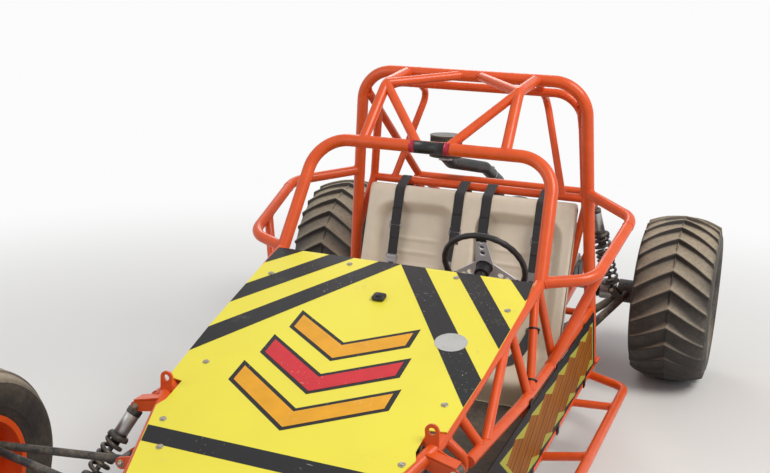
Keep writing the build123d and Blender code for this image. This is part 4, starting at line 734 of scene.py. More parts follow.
class BUGGY_OT_paint_frame(bpy.types.Operator):
    """Finish every carried-over node"""
    bl_idname = "buggy.paint_frame"
    bl_label = "Paint the frame"

    def execute(self, context):
        paint = context.scene.buggy_paint
        orange, yellow, black = (tuple(c) for c in (paint.orange, paint.yellow, paint.band))
        coat = surface_material("orange_powder_coat", orange, 0.34, coat=0.12, shine=0.4,
                                shade=(0.78 * orange[0], 0.66 * orange[1], 0.8 * orange[2]),
                                bare=(0.30, 0.12, 0.06), worn=0.16, worn_scale=4.0,
                                dust=paint.dust, grain=420.0, bump=0.06)
        hood = surface_material("yellow_hood_paint", yellow, 0.40, coat=0.10, shine=0.35,
                                shade=(0.90 * yellow[0], 0.84 * yellow[1], yellow[2]),
                                bare=(0.55, 0.50, 0.30), worn=0.12, worn_scale=3.0, dust=0.20,
                                dust_scale=5.0, grain=60.0, bump=0.04)
        panel = surface_material("black_panel_with_strokes", black, 0.52, dust=0.08,
                                 bare=(0.35, 0.33, 0.30), worn=0.14, worn_scale=5.0, bump=0.05,
                                 shine=0.12, pattern=panel_strokes)
        black_coat = surface_material("black_satin_coat", (0.022, 0.022, 0.024), 0.42,
                                      bare=(0.25, 0.24, 0.23), worn=0.2, dust=0.42, bump=0.08)
        pan = surface_material("black_floor_sheet", (0.03, 0.03, 0.03), 0.5,
                               bare=(0.3, 0.29, 0.28), worn=0.4, dust=0.50, dust_scale=4.0,
                               sand=(0.36, 0.28, 0.19))
        cast = surface_material("cast_aluminium", (0.50, 0.50, 0.49), 0.48, metallic=0.85,
                                shade=(0.33, 0.32, 0.31), dust=0.42, dust_scale=14.0, grain=900.0,
                                bump=0.35, sand=(0.34, 0.27, 0.19))
        steel = surface_material("machined_steel", (0.46, 0.46, 0.47), 0.33, metallic=0.95,
                                 shade=(0.30, 0.29, 0.28), dust=0.3, grain=700.0, bump=0.1)
        exhaust = surface_material("heat_stained_steel", (0.30, 0.28, 0.26), 0.40, metallic=0.90,
                                   shade=(0.24, 0.14, 0.09), dust=0.12, dust_scale=12.0, bump=0.15,
                                   bare=(0.16, 0.07, 0.03), worn=0.3, worn_scale=8.0)
        rubber = surface_material("grip_rubber", (0.016, 0.016, 0.017), 0.62, grain=500.0,
                                  bump=0.3, dust=0.25)
        plastic = surface_material("black_moulding", (0.020, 0.020, 0.021), 0.45, grain=600.0,
                                   bump=0.2, dust=0.38)
        seat = surface_material("seat_moulding", tuple(context.scene.buggy_seats.vinyl), 0.42,
                                shade=(0.72, 0.63, 0.49), dust=0.26, dust_scale=5.0, grain=450.0,
                                bump=0.12, bare=(0.42, 0.38, 0.31), worn=0.1)
        finishes = {
            "frame_paint": coat, "hood_paint": hood, "panel_paint": panel, "floor_metal": pan,
            "black_metal": black_coat, "rim_paint": coat, "steel": steel, "cast_aluminium": cast,
            "exhaust_metal": exhaust, "grip_rubber": rubber, "black_plastic": plastic,
            "seat_vinyl": seat, "shock_mix": black_coat,
            "strap_fabric": webbing_material("black_webbing", (0.020, 0.020, 0.022)),
        }
        for part in frame["record"]["subparts"]:
            if part["material_slot"] in finishes:
                assign(part["node"], finishes[part["material_slot"]])
        self.paint_mixed_nodes()
        for end, wheel in WHEELS.items():
            tyre = surface_material(
                end + "_tyre_rubber", (0.022, 0.020, 0.019), 0.66, shade=(0.040, 0.035, 0.031),
                dust=0.22, dust_scale=6.0, grain=380.0, bump=0.35, sand=(0.30, 0.235, 0.165),
                pattern=partial(tread_sand_and_painted_light, wheel=wheel))
            for side, _ in SIDES:
                assign(end + "_tyre_" + side, tyre)
        return {"FINISHED"}

    @staticmethod
    def paint_mixed_nodes():
        """Finish the four nodes that are made of more than one material, region by region."""
        sheet, rubber = (0.020, 0.020, 0.022), (0.017, 0.017, 0.018)
        cover, jet = (0.026, 0.026, 0.028), (0.014, 0.014, 0.015)
        assign("fuel_tank", surface_material(
            "spun_aluminium", (0.62, 0.62, 0.62), 0.32, metallic=0.95, shade=(0.48, 0.48, 0.48),
            dust=0.30, dust_scale=6.0, grain=200.0, regions=[
                # the two straps and the filler cap
                (in_box((0.1825, None, None), (0.2175, None, None)), sheet, 0.45, 0.0),
                (in_box((-0.2175, None, None), (-0.1825, None, None)), sheet, 0.45, 0.0),
                (in_box(low=(None, None, 0.7335)), sheet, 0.50, 0.0)]))
        assign("engine", surface_material(
            "engine_castings", (0.48, 0.48, 0.47), 0.50, metallic=0.80, shade=(0.34, 0.33, 0.32),
            dust=0.34, dust_scale=14.0, grain=900.0, bump=0.35, sand=(0.34, 0.27, 0.19), regions=[
                # the fan housing, the belt and its pulleys, and the generator
                (in_box((None, 1.3740, 0.487), (None, 1.4715, None)), sheet, 0.36, 0.0),
                (in_box((None, 1.7045, 0.392), (None, 1.7235, 0.700)), rubber, 0.70, 0.0),
                (near_line((0.0, 0.0, 0.640), (0, 1, 0), 0.0546,
                           in_box((None, 1.4715, None), (None, 1.6835, None))),
                 (0.030, 0.032, 0.036), 0.42, 0.2),
                # the two rocker covers and the carburettor
                (in_box(low=(0.3225, None, None)), cover, 0.55, 0.0),
                (in_box(high=(-0.3225, None, None)), cover, 0.55, 0.0),
                (in_box((-0.162, 1.480, 0.566), (-0.098, 1.540, 0.640)),
                 (0.46, 0.40, 0.27), 0.42, 0.85),
                # the distributor's cap and the oil filler's
                (near_line((0.082, 1.556, 0.0), (0, 0, 1), 0.0312,
                           in_box((None, None, 0.5575), (None, None, 0.600))),
                 (0.055, 0.012, 0.008), 0.36, 0.0),
                (near_line((0.092, 1.650, 0.0), (0, 0, 1), 0.0250,
                           in_box((None, None, 0.5425), (None, None, 0.560))),
                 rubber, 0.50, 0.0)]))
        assign("shifter", surface_material(
            "shifter_finish", (0.46, 0.46, 0.47), 0.33, metallic=0.95, shade=(0.34, 0.33, 0.32),
            dust=0.28, dust_scale=20.0, grain=500.0, regions=[
                # the boot and the knob
                (in_box(high=(None, None, 0.3310)), rubber, 0.62, 0.0),
                (in_box(low=(None, None, 0.5035)), jet, 0.22, 0.0)]))
        assign("steering_wheel", surface_material(
            "steering_wheel_finish", jet, 0.5, grain=800.0, dust=0.12, dust_scale=30.0, regions=[
                # the bare spokes and the hub
                (near_line(STEER_HUB, STEER_AXIS, 0.1365), (0.80, 0.81, 0.84), 0.38, 0.25),
                (near_line(STEER_HUB, STEER_AXIS, 0.0345), (0.020, 0.020, 0.021), 0.40, 0.0)]))


# Corners of each black band on the hood, as (x, y) in metres, in order round it
HOOD_BANDS = [
    ((-0.521, -0.3255), (-0.411, -0.3255), (-0.5175, -0.442), (-0.5215, -0.430)),
    ((-0.298, -0.3255), (-0.194, -0.3255), (-0.5105, -0.722), (-0.5155, -0.597)),
    ((-0.088, -0.3255), (-0.0015, -0.3255), (-0.4930, -1.020), (-0.5035, -0.880)),
    ((0.0015, -0.3255), (0.099, -0.3255), (0.5035, -0.905), (0.4910, -1.045)),
    ((0.222, -0.3255), (0.314, -0.3255), (0.5155, -0.623), (0.5100, -0.738)),
    ((0.430, -0.3255), (0.5145, -0.3255), (0.5215, -0.430), (0.5170, -0.446)),
    ((-0.405, -1.384), (0.405, -1.384), (0.3835, -1.452), (-0.3835, -1.452)),
]
HOOD_SCREWS = (
    (-0.457, -0.508), (-0.401, -1.060), (-0.375, -1.349), (-0.312, -1.460), (0.475, -0.518),
    (-0.191, -0.373), (0.235, -0.363), (0.433, -1.049), (0.404, -1.325), (0.300, -1.640),
    (-0.290, -1.650))
HOOD_LATCH = (0.012, -0.565)
HOOD_LABEL = (0.347, -0.744)
# How high the lower and the upper films lie over the hood
LOWER_FILM, UPPER_FILM = 0.0002, 0.0008
# Tip of the first arrow mark, the step to the next, the rise of its arms and its depth
ARROW_TIP, ARROW_PITCH, ARROW_RISE, ARROW_DEPTH = -1.295, 0.175, 0.62, 0.105


def hood_film(shell, corners, lift, film, rows=6, cols=10):
    """A thin slab over the hood between four corners."""
    flat = bilinear([(x, y, 0.0) for x, y in corners], rows, cols)
    slab(shell, on_hood(flat[..., 0], flat[..., 1], lift + film),
         on_hood(flat[..., 0], flat[..., 1], lift))


def arrow_arm(tip, side, reach, edge):
    """Corners of one arm of an arrow mark, drawn in by an edge on its two long sides."""
    end = tip + ARROW_RISE * reach
    return [(0.0, tip + edge), (side * reach, end + edge),
            (side * reach, end + ARROW_DEPTH - edge), (0.0, tip + ARROW_DEPTH - edge)]


class BUGGY_OT_mark_hood(bpy.types.Operator):
    """Lay the black bands, the arrow marks and the round blank label on the hood"""
    bl_idname = "buggy.mark_hood"
    bl_label = "Mark the hood"

    def execute(self, context):
        marks = context.scene.buggy_hood
        film = marks.film
        black = surface_material("band_film", (0.012, 0.012, 0.014), 0.46, shine=0.3,
                                 bare=(0.40, 0.39, 0.36), worn=0.26, worn_scale=5.0, dust=0.22,
                                 dust_scale=6.0, bump=0.05, sand=(0.30, 0.25, 0.19))
        red = surface_material("red_film", (0.72, 0.022, 0.035), 0.44, bare=(0.7, 0.55, 0.45),
                               worn=0.30, worn_scale=6.0, dust=0.16, bump=0.04, shine=0.35)
        amber = surface_material("amber_film", (0.93, 0.42, 0.012), 0.44, bare=(0.8, 0.7, 0.5),
                                 worn=0.26, worn_scale=6.0, dust=0.16, bump=0.04, shine=0.35)
        white = surface_material("white_label", (0.56, 0.55, 0.53), 0.50, dust=0.25, bump=0.04,
                                 bare=(0.28, 0.27, 0.26), worn=0.40, worn_scale=9.0)
        bands = Shell()
        for corners in HOOD_BANDS:
            hood_film(bands, corners, LOWER_FILM, film)
        bands.make("hood_bands", black, "chassis", "hood_paint", smooth=False)
        outline, ambers, reds = Shell(), Shell(), Shell()
        for i in range(marks.arrow_count):
            tip = ARROW_TIP + ARROW_PITCH * i
            arm = marks.arrow_width / 2 * (1.0 - 0.10 * i)
            for side in (1.0, -1.0):
                hood_film(outline, arrow_arm(tip, side, arm, 0.0), LOWER_FILM, film, 3, 8)
                hood_film(reds if i == 1 else ambers, arrow_arm(tip, side, arm - 0.017, 0.016),
                          UPPER_FILM, film, 3, 8)
        outline.make("hood_arrow_outlines", black, "chassis", "hood_paint", smooth=False)
        ambers.make("hood_arrows_amber", amber, "chassis", "hood_paint", smooth=False)
        reds.make("hood_arrow_red", red, "chassis", "hood_paint", smooth=False)
        label = Shell()
        angle, reach = full_turn(48), np.linspace(0.08, 1.0, 4)[:, None]
        x = HOOD_LABEL[0] + 0.056 * reach * np.cos(angle)
        y = HOOD_LABEL[1] + 0.050 * reach * np.sin(angle)
        top, low = on_hood(x, y, UPPER_FILM + film), on_hood(x, y, UPPER_FILM)
        label.add(np.concatenate([top, low[::-1]]), grid_quads(8, 48, True, True))
        boss(label, on_hood(*HOOD_LABEL, UPPER_FILM), HOOD_NORMAL, [(0.0046, 0.0), (0.0046, film)],
             24, 0.0001)
        label.make("hood_blank_label", white, "chassis", "hood_paint", smooth=False)
        return {"FINISHED"}


class BUGGY_OT_fit_hood_fasteners(bpy.types.Operator):
    """Set the screws with their washers and the latch on the hood"""
    bl_idname = "buggy.fit_hood_fasteners"
    bl_label = "Fit the hood fasteners"

    def execute(self, context):
        zinc = surface_material("zinc_screw", (0.48, 0.46, 0.42), 0.36, metallic=0.9,
                                shade=(0.33, 0.28, 0.20), dust=0.35, dust_scale=60.0, bump=0.2)
        latch = surface_material("latch_rubber", (0.018, 0.018, 0.019), 0.5, dust=0.3,
                                 dust_scale=30.0, grain=700.0, bump=0.3)
        screws = Shell()
        for x, y in HOOD_SCREWS:
            base = on_hood(x, y, 0.0006)
            boss(screws, base, HOOD_NORMAL, [(0.0110, 0.0), (0.0115, 0.0006), (0.0108, 0.0014)],
                 28, 0.0030)
            boss(screws, base, HOOD_NORMAL,
                 [(0.0062, 0.0012), (0.0063, 0.0022), (0.0052, 0.0036), (0.0028, 0.0042),
                  (0.0022, 0.0030)], 24, 0.0002)
        screws.make("hood_screws", zinc, "chassis", "steel")
        body = Shell()
        axes = axes_on(HOOD_NORMAL)
        centre = on_hood(*HOOD_LATCH, 0.008)
        knob(body, centre, (0.024, 0.022, 0.0075), axes, 0.42, 14, 32)
        knob(body, centre + HOOD_NORMAL * 0.0075, (0.013, 0.012, 0.004), axes, 0.5, 10, 24)
        knob(body, centre + HOOD_NORMAL * 0.010 - axes[1] * 0.002, (0.004, 0.011, 0.0035), axes,
             0.4, 8, 16)
        body.make("hood_latch_cap", latch, "chassis", "black_plastic")
        return {"FINISHED"}


def between(a, b, share):
    """The point at a share of the way from a to b."""
    return np.asarray(a, float) + (np.asarray(b, float) - np.asarray(a, float)) * share


# More stations of the left side, and the (y, z) of the three bars across
MID_REAR, MID_KNEE = (0.578, 0.571, 0.490), (0.577, -0.620, 0.505)
MID_FRONT = (0.545, -1.140, 0.512)
MAIN_TOP, MAIN_HIP, MAIN_FOOT = (0.505, 0.449, 1.505), (0.538, 0.506, 1.030), (0.596, 0.603, 0.225)
HIP_REAR, HIP_FRONT = (0.765, 0.270, 0.992), (0.712, -0.190, 0.850)
SCREEN_LEG = (0.512, -0.1357, 1.063)
ROOF_KNEE, ROOF_TAIL = (0.286, 0.179, 1.474), (0.286, 0.700, 1.392)
CRADLE_FRONT, FLOOR_TAIL = (0.330, 0.900, 0.260), (0.300, 1.730, 0.300)
FLOOR_NOSE, FLOOR_WIDE = (0.262, -1.255, 0.225), (0.596, -0.760, 0.225)
NOSE_FOOT = (0.262, -1.740, 0.225)
REAR_CORNER = (0.440, 1.060, 0.930)
WAIST = (0.506, 0.6116, 0.985)
SCREEN_BAR, MAIN_BAR, HARNESS_BAR = (-0.025, 1.250), MAIN_TOP[1:], WAIST[1:]
SILL_REAR, SILL_FRONT = (0.785, 0.380, 0.225), (0.785, -0.740, 0.280)


def bent_rail(front, knee, rear, y):
    """A rail's centre at a station y, on its run before or behind its knee."""
    a, b = (knee, rear) if y > knee[1] else (front, knee)
    return between(a, b, (y - a[1]) / (b[1] - a[1]))


upper_rail = partial(bent_rail, NOSE_TOP, SHOULDER, COWL)
mid_rail = partial(bent_rail, MID_FRONT, MID_KNEE, MID_REAR)


def floor_rail(y):
    """The left floor rail's centre on its straight run."""
    return np.array([FLOOR_WIDE[0], y, FLOOR_WIDE[2]])


def weld_joints():
    """Each weld: the tube's end, its far end and radius, and the rail's two points and radius."""
    upper = (SHOULDER, COWL, RAIL_RADIUS)
    nose = (NOSE_TOP, SHOULDER, RAIL_RADIUS)
    mid_front, mid_rear = (MID_FRONT, MID_KNEE, STRUT_RADIUS), (MID_KNEE, MID_REAR, STRUT_RADIUS)
    floor = (floor_rail(-0.7), floor_rail(0.5), RAIL_RADIUS)
    slant = (FLOOR_NOSE, FLOOR_WIDE, RAIL_RADIUS)
    cradle = (CRADLE_FRONT, FLOOR_TAIL, RAIL_RADIUS)
    main_low, main_high = (MAIN_FOOT, MAIN_HIP, HOOP_RADIUS), (MAIN_HIP, MAIN_TOP, HOOP_RADIUS)
    screen_top, main_top, harness = (((-0.4, *bar), (0.4, *bar), radius) for bar, radius in (
        (SCREEN_BAR, HOOP_RADIUS), (MAIN_BAR, HOOP_RADIUS), (HARNESS_BAR, STRUT_RADIUS)))
    side_bar = (SILL_REAR, SILL_FRONT, STRUT_RADIUS)
    brace, strut, rail = BRACE_RADIUS, STRUT_RADIUS, RAIL_RADIUS
    main_leg = between(MAIN_FOOT, MAIN_HIP, (0.720 - MAIN_FOOT[2]) / (MAIN_HIP[2] - MAIN_FOOT[2]))
    hip_middle = between(HIP_FRONT, HIP_REAR, 0.35)
    joints = []
    for a, rail_a, b, rail_b in (
            (upper_rail(-1.150), upper, MID_FRONT, None),
            (upper_rail(-1.040), upper, mid_rail(-1.030), mid_front),
            (upper_rail(-0.610), upper, mid_rail(-1.000), mid_front),
            (upper_rail(-0.585), upper, mid_rail(-0.560), mid_rear),
            (upper_rail(-0.330), upper, mid_rail(-0.530), mid_rear),
            (upper_rail(-0.300), upper, mid_rail(-0.175), mid_rear),
            (mid_rail(-0.585), mid_rear, floor_rail(-0.585), floor),
            (mid_rail(0.180), mid_rear, floor_rail(0.180), floor)):
        joints += [(p, q, brace, r) for p, q, r in ((a, b, rail_a), (b, a, rail_b)) if r]
    joints += [(upper_rail(y), upper_rail(y) * (0, 1, 1), brace, r)
               for y, r in ((-1.735, nose), (-1.180, upper), (-0.345, upper))]
    joints += [
        (upper_rail(NOSE_FOOT[1]), NOSE_FOOT, brace, nose),
        (NOSE_FOOT, upper_rail(NOSE_FOOT[1]), brace, ((0.262, -1.76, 0.225), FLOOR_NOSE, rail)),
        (NOSE_TOP, (0.250, -1.895, 0.330), strut, nose),
        (mid_rail(-0.230), hip_middle, strut - 0.0002, mid_rear),
        (hip_middle, mid_rail(-0.230), strut, (HIP_FRONT, HIP_REAR, rail)),
        (MAIN_HIP, HIP_REAR, rail, main_high),
        (COWL, HIP_FRONT, rail, (COWL, SCREEN_LEG, HOOP_RADIUS)),
        ((0.300, *SCREEN_BAR), ROOF_KNEE, rail, screen_top),
        ((0.290, *MAIN_BAR), ROOF_KNEE, rail, main_top),
        ((0.057, *SCREEN_BAR), ROOF_KNEE, strut, screen_top),
        ((0.034, *MAIN_BAR), ROOF_KNEE, strut, main_top),
        (main_leg, WAIST, strut, main_low),
        ((0.290, *MAIN_BAR), ROOF_TAIL, brace, main_top),
        ((0.405, *HARNESS_BAR), ROOF_TAIL, brace, harness),
        ((0.485, 0.4616, 1.400), REAR_CORNER, strut, main_high),
        ((0.577, 0.5701, 0.500), REAR_CORNER, strut, main_low),
        ((0.331, 1.120, 0.268), REAR_CORNER, strut, cradle),
        ((0.303, 1.700, 0.297), (0.400, 1.640, 0.640), strut, cradle),
        (floor_rail(0.480), SILL_REAR, strut, floor),
        (between(FLOOR_NOSE, FLOOR_WIDE, 0.7374), SILL_FRONT, strut, slant),
        (CRADLE_FRONT, (0.0, *CRADLE_FRONT[1:]), brace, cradle),
        (FLOOR_TAIL, (0.0, *FLOOR_TAIL[1:]), brace, cradle)]
    for y, high in ((0.120, 0.238), (-0.430, 0.265)):
        sill = (SILL_REAR[0], y, high)
        joints += [(floor_rail(y), sill, brace, floor), (sill, floor_rail(y), brace, side_bar)]
    joints += [(floor_rail(y), floor_rail(y) * (0, 1, 1), brace, floor)
               for y in (-0.700, -0.150, 0.420)]
    return joints


def saddle(end, far, radius, rail, samples=60):
    """Where a tube's skin meets a rail's skin.

    Each line of the skin, p + t u, is followed to the larger t at which its distance from the
    rail's axis is the rail's radius.
    """
    start, axis_end, rail_radius = (np.asarray(v, float) for v in rail)
    u, v = unit(np.asarray(far, float) - end), unit(axis_end - start)
    a = unit(np.cross(u, v))
    p = np.asarray(end, float) + radius * ring_of(full_turn(samples), a, np.cross(u, a))
    w = (p - start) - ((p - start) @ v)[:, None] * v
    across = u - (u @ v) * v
    square = across @ across
    lead = w @ across
    root = np.sqrt(np.clip(lead ** 2 - square * ((w ** 2).sum(-1) - rail_radius ** 2), 0, None))
    t = (root - lead) / square
    return p + t[:, None] * u, u


class BUGGY_OT_lay_welds(bpy.types.Operator):
    """Lay a rippled weld bead round every joint of the frame"""
    bl_idname = "buggy.lay_welds"
    bl_label = "Lay the welds"

    def execute(self, context):
        bead = context.scene.buggy_paint.bead
        welds = Shell()
        for end, far, radius, rail in weld_joints():
            path, along = saddle(end, far, radius, rail)
            ripple = 1.0 + 0.14 * np.sin(np.arange(len(path)) * math.pi / 2.5)
            tube(welds, path, bead * ripple, along, 8, closed=True)
        seam = between(HIP_REAR, HIP_FRONT, 0.14)
        boss(welds, seam, np.subtract(HIP_REAR, HIP_FRONT),
             [(RAIL_RADIUS + out, along) for out, along in (
                 (0.0004, -0.003), (0.0016, -0.001), (0.0016, 0.001), (0.0004, 0.003))],
             56, RAIL_RADIUS - 0.001)
        welds.mirror()
        welds.make("weld_beads", MATERIALS["orange_powder_coat"], "chassis", "frame_paint")
        return {"FINISHED"}


def bolt_set(shell, centre, reach, size):
    """A bolt along Y through a bracket: washers and a chamfered six-sided head and nut."""
    centre, washer = np.asarray(centre, float), 0.0014
    for side, tall in ((1.0, 0.62), (-1.0, 0.80)):
        axis = np.array([0.0, side, 0.0])
        face = centre + axis * (reach + 0.0001)
        boss(shell, face, axis,
             [(1.22 * size, 0.0), (1.25 * size, 0.0006), (1.22 * size, washer)], 28)
        boss(shell, face, axis, [(size, washer), (size, washer + 0.85 * tall * size),
                                 (0.86 * size, washer + tall * size)], 6)
    boss(shell, centre - np.array([0.0, reach + washer, 0.0]), (0.0, -1.0, 0.0),
         [(0.56 * size, 0.0), (0.56 * size, 1.12 * size), (0.46 * size, 1.24 * size)], 20)


# Eyes of the left coil-over shocks, top and foot
SHOCK_EYES = {"front": ((0.540, -1.240, 0.525), (0.652, -1.388, 0.2693)),
              "rear": ((0.472, 1.060, 0.868), (0.588, 1.112, 0.445))}
# Inner hinges of the left front arms
ARM_HINGES = ((0.3033, -1.345, 0.225), (0.3033, -1.690, 0.225), (0.418, -1.480, 0.462),
              (0.418, -1.670, 0.462))


class BUGGY_OT_fit_bolts(bpy.types.Operator):
    """Bolt the shocks, the arms and the steering arms to their brackets"""
    bl_idname = "buggy.fit_bolts"
    bl_label = "Fit the bolts"

    def execute(self, context):
        zinc = MATERIALS["zinc_screw"]
        rusty = surface_material("rusty_bolt", (0.20, 0.11, 0.06), 0.62, metallic=0.55,
                                 shade=(0.34, 0.30, 0.26), dust=0.35, dust_scale=50.0, bump=0.4,
                                 grain=500.0)
        bright, brown = Shell(), Shell()
        top, foot = SHOCK_EYES["front"]
        for eye in (*SHOCK_EYES["rear"], foot):
            bolt_set(bright, eye, 0.0243, 0.0095)
        for hinge in ARM_HINGES:
            bolt_set(bright, hinge, 0.0273, 0.0095)
        bright.mirror()
        bolt_set(bright, top, 0.0243, 0.0100)
        bolt_set(brown, np.multiply(top, (-1, 1, 1)), 0.0243, 0.0100)
        bright.make("bracket_bolts", zinc, "chassis", "steel")
        brown.make("rusty_shock_bolt", rusty, "chassis", "steel")
        nuts = Shell()
        boss(nuts, (0.855, -1.480, 0.3061), (0, 0, 1),
             [(0.0110, 0.0), (0.0110, 0.0075), (0.0095, 0.0090)], 6)
        for side, sign in SIDES:
            nuts.make("steering_arm_nut_" + side, zinc, "knuckle_" + side, "steel", flip=sign)
        return {"FINISHED"}


HOSE_RADIUS = 0.031
# Middle of the air filter as (x, y), and middle of the fan's mouth
FILTER = (-0.215, 0.800)
FAN = np.array([0.0, 1.3752, 0.640])


class BUGGY_OT_fit_engine_details(bpy.types.Operator):
    """Add hose clamps, filter pleats, drive-shaft boots, the fan grille and the pedals' ribs"""
    bl_idname = "buggy.fit_engine_details"
    bl_label = "Fit the engine details"

    def execute(self, context):
        steel = MATERIALS["machined_steel"]
        self.clamp_hoses(steel)
        self.fold_filter()
        self.fit_boots()
        self.fit_grille(steel)
        self.rib_pedals()
        return {"FINISHED"}

    @staticmethod
    def clamp_hoses(steel):
        """A band with its housing and screw at each end of the intake hoses."""
        clamps = Shell()
        for centre, axis in (((-0.130, 1.510, 0.655), (0, 0, 1)),
                             ((-0.130, 1.510, 0.790), (0, 0, 1)), ((*FILTER, 1.070), (0, 0, 1)),
                             ((-0.130, 1.330, 0.9225), (0.0, -0.310, 0.125))):
            boss(clamps, centre, axis, [(HOSE_RADIUS + out, along) for out, along in (
                (0.0015, -0.006), (0.0019, -0.005), (0.0019, 0.005), (0.0015, 0.006))],
                 56, HOSE_RADIUS + 0.0003)
            axis = unit(axis)
            out = unit(np.cross(axis, [1.0, 0.1, 0.0]))
            side = np.cross(out, axis)
            at = np.asarray(centre) + out * (HOSE_RADIUS + 0.0055)
            knob(clamps, at, (0.0105, 0.0060, 0.0048), np.stack([side, axis, out]), 0.35, 8, 20)
            boss(clamps, at + side * 0.0095, side,
                 [(0.0042, 0.0), (0.0042, 0.0040), (0.0034, 0.0048)], 6, 0.0002)
        clamps.make("hose_clamps", steel, "chassis", "steel")

    @staticmethod
    def fold_filter():
        """The filter's gauze in sixty folds: 2.8 mm |sin(30 angle)| over its plain radius."""
        angle = full_turn(480)[:, None]
        height = np.linspace(1.0902, 1.1788, 9)[None, :]
        folded = 0.0748 + 0.0028 * np.abs(np.sin(30 * angle))
        outer, inner = (np.stack(np.broadcast_arrays(
            FILTER[0] + reach * np.cos(angle), FILTER[1] + reach * np.sin(angle), height), -1)
            for reach in (folded, 0.0742))
        pleats = Shell()
        pleats.add(np.concatenate([outer, inner[:, ::-1]], 1), grid_quads(480, 18, True, True))
        gauze = surface_material("filter_gauze", (0.060, 0.058, 0.055), 0.7, grain=1400.0,
                                 bump=0.6, dust=0.42, dust_scale=24.0)
        pleats.make("filter_pleats", gauze, "chassis", "black_plastic")

    @staticmethod
    def fit_boots():
        """Bellows at both ends of each drive shaft, their waves dying out towards the neck."""
        long = 0.074
        t = np.linspace(0, 1, 41)
        r = 0.0475 - 0.0300 * smoothstep(t) + 0.0042 * np.cos(9 * math.pi * t) * (
            1 - smoothstep((t - 0.82) / 0.18))
        boots = Shell()
        for start, run in ((0.1985, long), (0.5165, -long)):
            boss(boots, (start, *WHEELS["rear"][1:]), SIDE_AXIS, list(zip(r, run * t)), 48, 0.0152)
        for side, sign in SIDES:
            boots.make("shaft_boots_" + side, MATERIALS["grip_rubber"],
                       BODY_OF["drive_shaft_" + side], "grip_rubber", flip=sign)

    @staticmethod
    def fit_grille(steel):
        """Eight wire rings and eight spokes round a domed cap, over the fan's mouth."""
        grille = Shell()
        ahead = (0, -1, 0)
        for reach in np.linspace(0.062, 0.136, 8):
            turned(grille, FAN, ahead,
                   [(reach - 0.0018, -0.0004), (reach + 0.0018, -0.0004),
                    (reach + 0.0014, 0.0022), (reach - 0.0014, 0.0022)], 96)
        for way in ring_of(full_turn(8), SIDE_AXIS, np.array([0.0, 0.0, 1.0])):
            tube(grille, [FAN - (0, 0.0012, 0) + way * r for r in (0.060, 0.138)], 0.0020,
                 (0, 1, 0), 8)
        turned(grille, FAN, ahead, [(0.0004, -0.0004), (0.058, -0.0004), (0.056, 0.0032),
                                    (0.012, 0.0060), (0.0004, 0.0062)], 72)
        grille.make("fan_grille", steel, "chassis", "steel")

    @staticmethod
    def rib_pedals():
        """Seven ribs across the face of each pedal's pad."""
        c, s = math.cos(math.radians(30)), math.sin(math.radians(30))
        up, normal = np.array([0.0, s, c]), np.array([0.0, c, -s])
        pads = Shell()
        for x in (0.165, 0.305, 0.375):
            face = np.array([x, -0.992, 0.425]) + normal * 0.0113
            for row in range(-3, 4):
                knob(pads, face + up * 0.0095 * row + normal * 0.0012, (0.0255, 0.0030, 0.0022),
                     np.stack([SIDE_AXIS, up, normal]), 0.4, 8, 24)
        pads.make("pedal_ribs", MATERIALS["black_moulding"], "chassis", "black_plastic")


class BUGGY_OT_wrap_screen_bar(bpy.types.Operator):
    """Wrap the windscreen bar with its sleeve, its tapes and the cable ties of the truss"""
    bl_idname = "buggy.wrap_screen_bar"
    bl_label = "Wrap the screen bar"

    def execute(self, context):
        vinyl = surface_material("sleeve_film", (0.016, 0.016, 0.018), 0.40, dust=0.25,
                                 bump=0.05)
        tape = surface_material("red_tape", (0.50, 0.008, 0.035), 0.42, dust=0.25, bump=0.08)
        ties = surface_material("tie_plastic", (0.015, 0.015, 0.016), 0.45, dust=0.2)
        arc = np.radians(np.linspace(106, 348, 61))[:, None]

        def wrap(shell, start, stop, thick):
            """A film round the front of the bar, on an arc that stays clear of the roof tubes."""
            x = np.linspace(start, stop, 3)[None, :]
            slab(shell, *(np.stack(np.broadcast_arrays(
                x, SCREEN_BAR[0] + reach * np.cos(arc), SCREEN_BAR[1] + reach * np.sin(arc)), -1)
                for reach in (HOOP_RADIUS + 0.0003 + thick, HOOP_RADIUS + 0.0003)))

        sleeve = Shell()
        wrap(sleeve, -0.0690, 0.0550, 0.0009)
        sleeve.make("screen_bar_sleeve", vinyl, "chassis", "black_plastic")
        rings = Shell()
        wrap(rings, -0.0910, -0.0692, 0.0010)
        wrap(rings, 0.0552, 0.0780, 0.0010)
        rings.make("screen_bar_tapes", tape, "chassis", "black_plastic")
        strips = Shell()
        a, b = upper_rail(-0.330), mid_rail(-0.530)
        for share in (0.376, 0.871):
            centre = between(a, b, share)
            boss(strips, centre, b - a,
                 [(BRACE_RADIUS + 0.0021, -0.0035), (BRACE_RADIUS + 0.0021, 0.0035)], 32,
                 BRACE_RADIUS + 0.0003)
            knob(strips, centre + np.array([BRACE_RADIUS + 0.0045, 0.0, 0.0]),
                 (0.0035, 0.0048, 0.0042), None, 0.35, 8, 16)
        strips.make("truss_cable_ties", ties, "chassis", "black_plastic")
        return {"FINISHED"}


def spring_piece(shell, top, foot, wire, radius, start, stop, turns):
    """A helix round the line from top to foot, at t + 0.035 sin(2 pi t) of its way down.

    So its pitch is widest at both ends.
    """
    top, foot = np.asarray(top, float), np.asarray(foot, float)
    axis = unit(foot - top)
    a = unit(np.cross(axis, [0.0, 1.0, 0.0]))
    t = np.linspace(0, 1, int(turns * 36))
    lift = start + (stop - start) * (t + 0.035 * np.sin(math.tau * t))
    round_axis = ring_of(math.tau * turns * t, a, np.cross(axis, a))
    tube(shell, top + lift[:, None] * axis + radius * round_axis, wire / 2, axis, 12)


